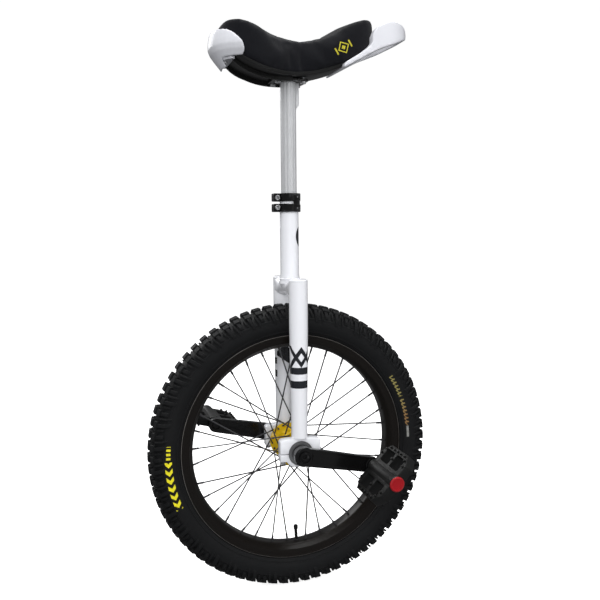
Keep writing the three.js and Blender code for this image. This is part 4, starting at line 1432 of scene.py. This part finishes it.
def crowned(name, outline, levels, centre):
    """An outline in millimetres raised through levels of (height, size), resized about a centre."""
    middle_x = centre * MM
    height, size = levels[0]
    start = [(middle_x + (x * MM - middle_x) * size, y * MM * size, height * MM) for x, y in outline]
    piece = wire(name, [*start, start[0]])
    bpy.ops.mesh.remove_doubles(threshold=0.01 * MM)
    bpy.ops.mesh.select_all(action="SELECT")
    bpy.ops.mesh.edge_face_add()
    for next_height, next_size in levels[1:]:
        rise = Vector((0, 0, (next_height - height) * MM))
        bpy.ops.mesh.extrude_region_move(TRANSFORM_OT_translate={"value": rise})
        ratio = next_size / size
        about = (middle_x, 0, next_height * MM)
        bpy.ops.transform.resize(value=(ratio, ratio, 1), center_override=about)
        height, size = next_height, next_size
    return close_up(piece)


def pad_band(name, lift_bottom, lift_top, grow):
    bottom = [(x, z + lift_bottom) for x, z in smooth_line(PAD_BOTTOM, 40)]
    top = [(x, z + lift_top) for x, z in smooth_line(PAD_TOP, 52)]
    return profile_slab(name, bottom + top[::-1], pad_plan(grow))


def swell(pad, sizes):
    """Inflates the pad like stuffed fabric and caps how far it may move."""
    rest = [vertex.co.copy() for vertex in pad.data.vertices]
    cloth = pad.modifiers.new("cloth", "CLOTH")
    cloth.settings.use_pressure = True
    cloth.settings.uniform_pressure_force = 4
    cloth.settings.effector_weights.gravity = 0
    cloth.settings.tension_stiffness = 30
    scene = bpy.context.scene
    for number in range(1, 21):
        scene.frame_set(number)
    only(pad)
    bpy.ops.object.modifier_apply(modifier="cloth")
    scene.frame_set(1)
    for vertex, before in zip(pad.data.vertices, rest):
        move = vertex.co - before
        if move.length > sizes.swell_limit:
            vertex.co = before + move.normalized() * sizes.swell_limit


class UNICYCLE_OT_pad(bpy.types.Operator):
    """Shapes the pad from its two outlines, fills it as cloth and smooths the surface"""

    bl_idname = "unicycle.pad"
    bl_label = "Saddle pad"

    def execute(self, context):
        sizes = context.scene.unicycle_saddle
        pad = pad_band("saddle_pad_covered", 1.0, 0.0, -0.8)
        apply(pad, "REMESH", mode="VOXEL", voxel_size=sizes.voxel)
        apply(pad, "SMOOTH", factor=0.5, iterations=7)
        swell(pad, sizes)
        apply(pad, "SMOOTH", factor=0.5, iterations=3)
        apply(pad, "SUBSURF", levels=1, render_levels=1)
        fit(pad, "cover_fabric", "saddle", "cover_fabric", "saddle_cover", "saddle_foam", angle=60)
        return {"FINISHED"}


def moulded(piece, sizes, rounds):
    """Turns sharp cut walls into a moulding with soft edges."""
    apply(piece, "REMESH", mode="VOXEL", voxel_size=sizes.moulding_voxel)
    apply(piece, "SMOOTH", factor=0.5, iterations=rounds)
    return piece


class UNICYCLE_OT_saddle_base(bpy.types.Operator):
    """Cuts the moulded base, with its rim and lengthways ribs"""

    bl_idname = "unicycle.saddle_base"
    bl_label = "Saddle base"

    def execute(self, context):
        lower = [(x, z - 4.3) for x, z in smooth_line(PAD_BOTTOM, 40)]
        upper = [(x, z + 1.5) for x, z in smooth_line(PAD_BOTTOM, 40)]
        base = profile_slab("saddle_base_moulded", lower + upper[::-1], pad_plan(-2.2))
        soften(base, 1.2 * MM, 2, 40)
        ribs = []
        for y in (-30, 30):
            line = smooth_line(PAD_BOTTOM[1:6], 14)
            outline = [(x, z - 3.5) for x, z in line] + [(x, z - 11.5) for x, z in line[::-1]]
            ribs.append(slab("rib", upright(outline, (y - 1.2) * MM), (0, 2.4 * MM, 0)))
        join("saddle_base_moulded", [base, *ribs])
        fit(base, "black_plastic", "saddle", "black_plastic", "saddle_base")
        return {"FINISHED"}


class UNICYCLE_OT_bumper(bpy.types.Operator):
    """Hollows the rear bumper, adds its floor and its two screws"""

    bl_idname = "unicycle.bumper"
    bl_label = "Rear bumper"

    def execute(self, context):
        sizes = context.scene.unicycle_saddle
        side = smooth_line([
            (-150, 958), (-138, 957.5), (-124, 957), (-112, 953), (-101, 944), (-92, 933), (-88, 922),
            (-91, 912), (-99, 903), (-112, 900), (-128, 903), (-146, 914), (-150, 936),
        ], 60, closed=True)
        bumper = slab("bumper_moulded", upright(side, -SADDLE_REACH), (0, 2 * SADDLE_REACH, 0))
        levels = [
            (894, 0.62), (904, 0.72), (914, 0.84), (924, 0.95), (932, 1), (940, 1), (950, 0.98),
            (962, 0.94),
        ]
        combine(bumper, crowned("outside", pad_plan(10), levels, BUMPER_CENTRE), "INTERSECT")
        inside = [(870, 0.45), *levels[1:4], (926, 0.95), (970, 0.95)]
        cut(bumper, crowned("inside", pad_plan(4), inside, BUMPER_CENTRE))
        cut(bumper, slab("pad_space", laid_flat(pad_plan(0.6), 0.926), (0, 0, 0.1)))
        underside = [(-119, 914), (-78, 914), (-78, 885), (-104, 885), (-110, 902)]
        cut(bumper, slab("underside", upright(underside, -SADDLE_REACH), (0, 2 * SADDLE_REACH, 0)))
        moulded(bumper, sizes, 7)
        low, high = (-124 * MM, -40 * MM, BUMPER_FLOOR), (-100 * MM, 40 * MM, BUMPER_FLOOR + 3 * MM)
        floor = block("floor", low, high)
        combine(floor, crowned("plan", pad_plan(7), levels, BUMPER_CENTRE), "INTERSECT")
        join("bumper_moulded", [bumper, soften(floor, 0.8 * MM, 2, 40)])
        fit(bumper, "white_plastic", "saddle", "white_plastic", "rear_bumper", angle=60)
        for side_name, _ in SIDES:
            at = middle(f"bumper_bolt_{side_name}")
            seat = (at.x, at.y, BUMPER_FLOOR - 0.3 * MM)
            screw = cap_screw(f"bumper_screw_{side_name}", seat, -UP, 4.5, 4, 2.5, 16)
            fit(screw, "bolt_steel", "saddle", "bolt_steel", f"bumper_bolt_{side_name}")
        return {"FINISHED"}


class UNICYCLE_OT_handle(bpy.types.Operator):
    """Cuts the front handle and opens the gap for the fingers"""

    bl_idname = "unicycle.handle"
    bl_label = "Front handle"

    def execute(self, context):
        sizes = context.scene.unicycle_saddle
        side = [
            (85, 905), (110, 918), (140, 934), (157, 941), (180, 950), (195, 957), (208, 963), (213, 968),
            (209, 975), (199, 981), (186, 985), (168, 985), (150, 978), (139, 969), (134, 957), (132, 945),
            (112, 929), (88, 914),
        ]
        outer = [(85, 50), (130, 54), (165, 52), (194, 40), (208, 22), (213, 7)]
        fingers = [(120, 32), (158, 40), (181, 31), (194, 16), (198, 6)]
        handle = profile_slab("handle_moulded", smooth_line(side, 84, closed=True), self.loop(outer))
        gap = slab("fingers", laid_flat(self.loop(fingers), 0.85), (0, 0, 0.2))
        cut(handle, gap)
        moulded(handle, sizes, 10)
        fit(handle, "white_plastic", "saddle", "white_plastic", "front_handle", angle=60)
        return {"FINISHED"}

    def loop(self, half):
        """A symmetrical outline from the points on one side, smoothed round the nose."""
        nose = smooth_line(half + [(x, -y) for x, y in reversed(half)], 60)
        return [(point.x, point.y) for point in nose]


# ---- stage -----------------------------------------------------------------------------


class UNICYCLE_OT_stage(bpy.types.Operator):
    """Sets the camera, the pale floor and the soft lights"""

    bl_idname = "unicycle.stage"
    bl_label = "Stage"

    def execute(self, context):
        stage = context.scene.unicycle_stage
        target = Vector((stage.aside, 0, stage.height))
        turn = (
            Matrix.Rotation(stage.azimuth, 4, "Z")
            @ Matrix.Rotation(math.pi / 2 - stage.elevation, 4, "X")
            @ Matrix.Rotation(stage.roll, 4, "Z")
        )
        deselect()
        bpy.ops.object.camera_add()
        camera = bpy.context.active_object
        camera.name = "camera"
        camera.matrix_world = Matrix.Translation(target + turn @ Vector((0, 0, stage.distance))) @ turn
        camera.data.lens = stage.lens
        camera.data.sensor_width = 36
        camera.data.shift_y = stage.shift
        context.scene.camera = camera
        context.scene.view_settings.view_transform = "Standard"
        deselect()
        sweep = [(0, 0), (6.0, 0)] + arc((6.0, 3.0), 3.0, -90, 0, 12)[1:] + [(9.0, 9.0)]
        floor = wire("studio_sweep", [(radius, 0, z - 0.2 * MM) for radius, z in sweep])
        bpy.ops.mesh.spin(steps=72, angle=TURN, center=(0, 0, 0), axis=UP)
        bpy.ops.mesh.select_all(action="SELECT")
        bpy.ops.mesh.remove_doubles(threshold=MM)
        bpy.ops.mesh.normals_make_consistent(inside=True)
        bpy.ops.object.mode_set(mode="OBJECT")
        bpy.ops.object.shade_smooth_by_angle(angle=math.radians(60))
        finish = Finish("studio_floor", stage.floor, 0.9)
        grain = finish.group("grain", Scale=3.0)
        finish.tint(grain["Mottle"], lighter(stage.floor, 0.995))
        finish.set(
            Specular_IOR_Level=0.0, Emission_Color=(1, 1, 1, 1), Emission_Strength=stage.floor_glow
        )
        finish.done()
        floor.data.materials.append(finish.material)
        floor.visible_glossy = False
        floor.visible_diffuse = False
        self.room(context.scene)
        for name, at, size, power, aim, in_gloss in (
            ("key_softbox", (-1.6, -2.2, 2.6), 2.2, 74, 0.5, False),
            ("fill_softbox", (2.4, -1.5, 1.6), 2.0, 40, 0.4, False),
            ("low_softbox", (-0.6, -2.4, 0.3), 1.6, 26, 0.7, False),
            ("top_softbox", (0.0, 0.2, 3.2), 2.2, 60, 0.5, True),
            ("rear_softbox", (-1.4, 2.4, 2.0), 1.6, 22, 0.5, True),
            ("strip_softbox", (1.2, -2.6, 1.2), 0.5, 2, 0.6, True),
        ):
            bpy.ops.object.light_add(type="AREA", location=at)
            light = bpy.context.active_object
            light.name = name
            light.data.size = size
            light.data.energy = power
            light.visible_glossy = in_gloss
            way = Vector(at) - Vector((0, 0, aim))
            light.rotation_euler = way.to_track_quat("Z", "Y").to_euler()
        return {"FINISHED"}

    def room(self, scene):
        """A dim even light from all round."""
        world = bpy.data.worlds.new("studio_room")
        scene.world = world
        world.use_nodes = True
        tree = world.node_tree
        tree.nodes.clear()
        light = put(tree, "ShaderNodeBackground", {"Color": (0.97, 0.98, 1, 1), "Strength": 0.17})
        end = put(tree, "ShaderNodeOutputWorld")
        tree.links.new(light.outputs[0], end.inputs["Surface"])


OPERATORS = (
    UNICYCLE_OT_finishes, UNICYCLE_OT_stage, UNICYCLE_OT_tyre, UNICYCLE_OT_rim, UNICYCLE_OT_spokes,
    UNICYCLE_OT_valve, UNICYCLE_OT_hub, UNICYCLE_OT_bearings, UNICYCLE_OT_cranks, UNICYCLE_OT_pedals,
    UNICYCLE_OT_fork, UNICYCLE_OT_holders, UNICYCLE_OT_clamp, UNICYCLE_OT_seatpost, UNICYCLE_OT_pad,
    UNICYCLE_OT_saddle_base, UNICYCLE_OT_bumper, UNICYCLE_OT_handle,
)


class UNICYCLE_PT_pieces(bpy.types.Panel):
    """Lists the settings and the operators that model the pieces"""

    bl_idname = "UNICYCLE_PT_pieces"
    bl_label = "Unicycle"
    bl_space_type = "VIEW_3D"
    bl_region_type = "UI"
    bl_category = "Unicycle"

    def draw(self, context):
        for group_name in SETTINGS:
            group = getattr(context.scene, group_name)
            box = self.layout.box()
            for name in group.__annotations__:
                box.prop(group, name)
        for operator in OPERATORS:
            self.layout.operator(operator.bl_idname)


def register():
    for cls in (*SETTINGS.values(), *OPERATORS, UNICYCLE_PT_pieces):
        bpy.utils.register_class(cls)
    for name, cls in SETTINGS.items():
        setattr(bpy.types.Scene, name, PointerProperty(type=cls))


def unregister():
    for name in SETTINGS:
        delattr(bpy.types.Scene, name)
    for cls in reversed((*SETTINGS.values(), *OPERATORS, UNICYCLE_PT_pieces)):
        bpy.utils.unregister_class(cls)


def main():
    register()
    for operator in OPERATORS:
        group, name = operator.bl_idname.split(".")
        getattr(getattr(bpy.ops, group), name)()


if __name__ == "__main__":
    main()
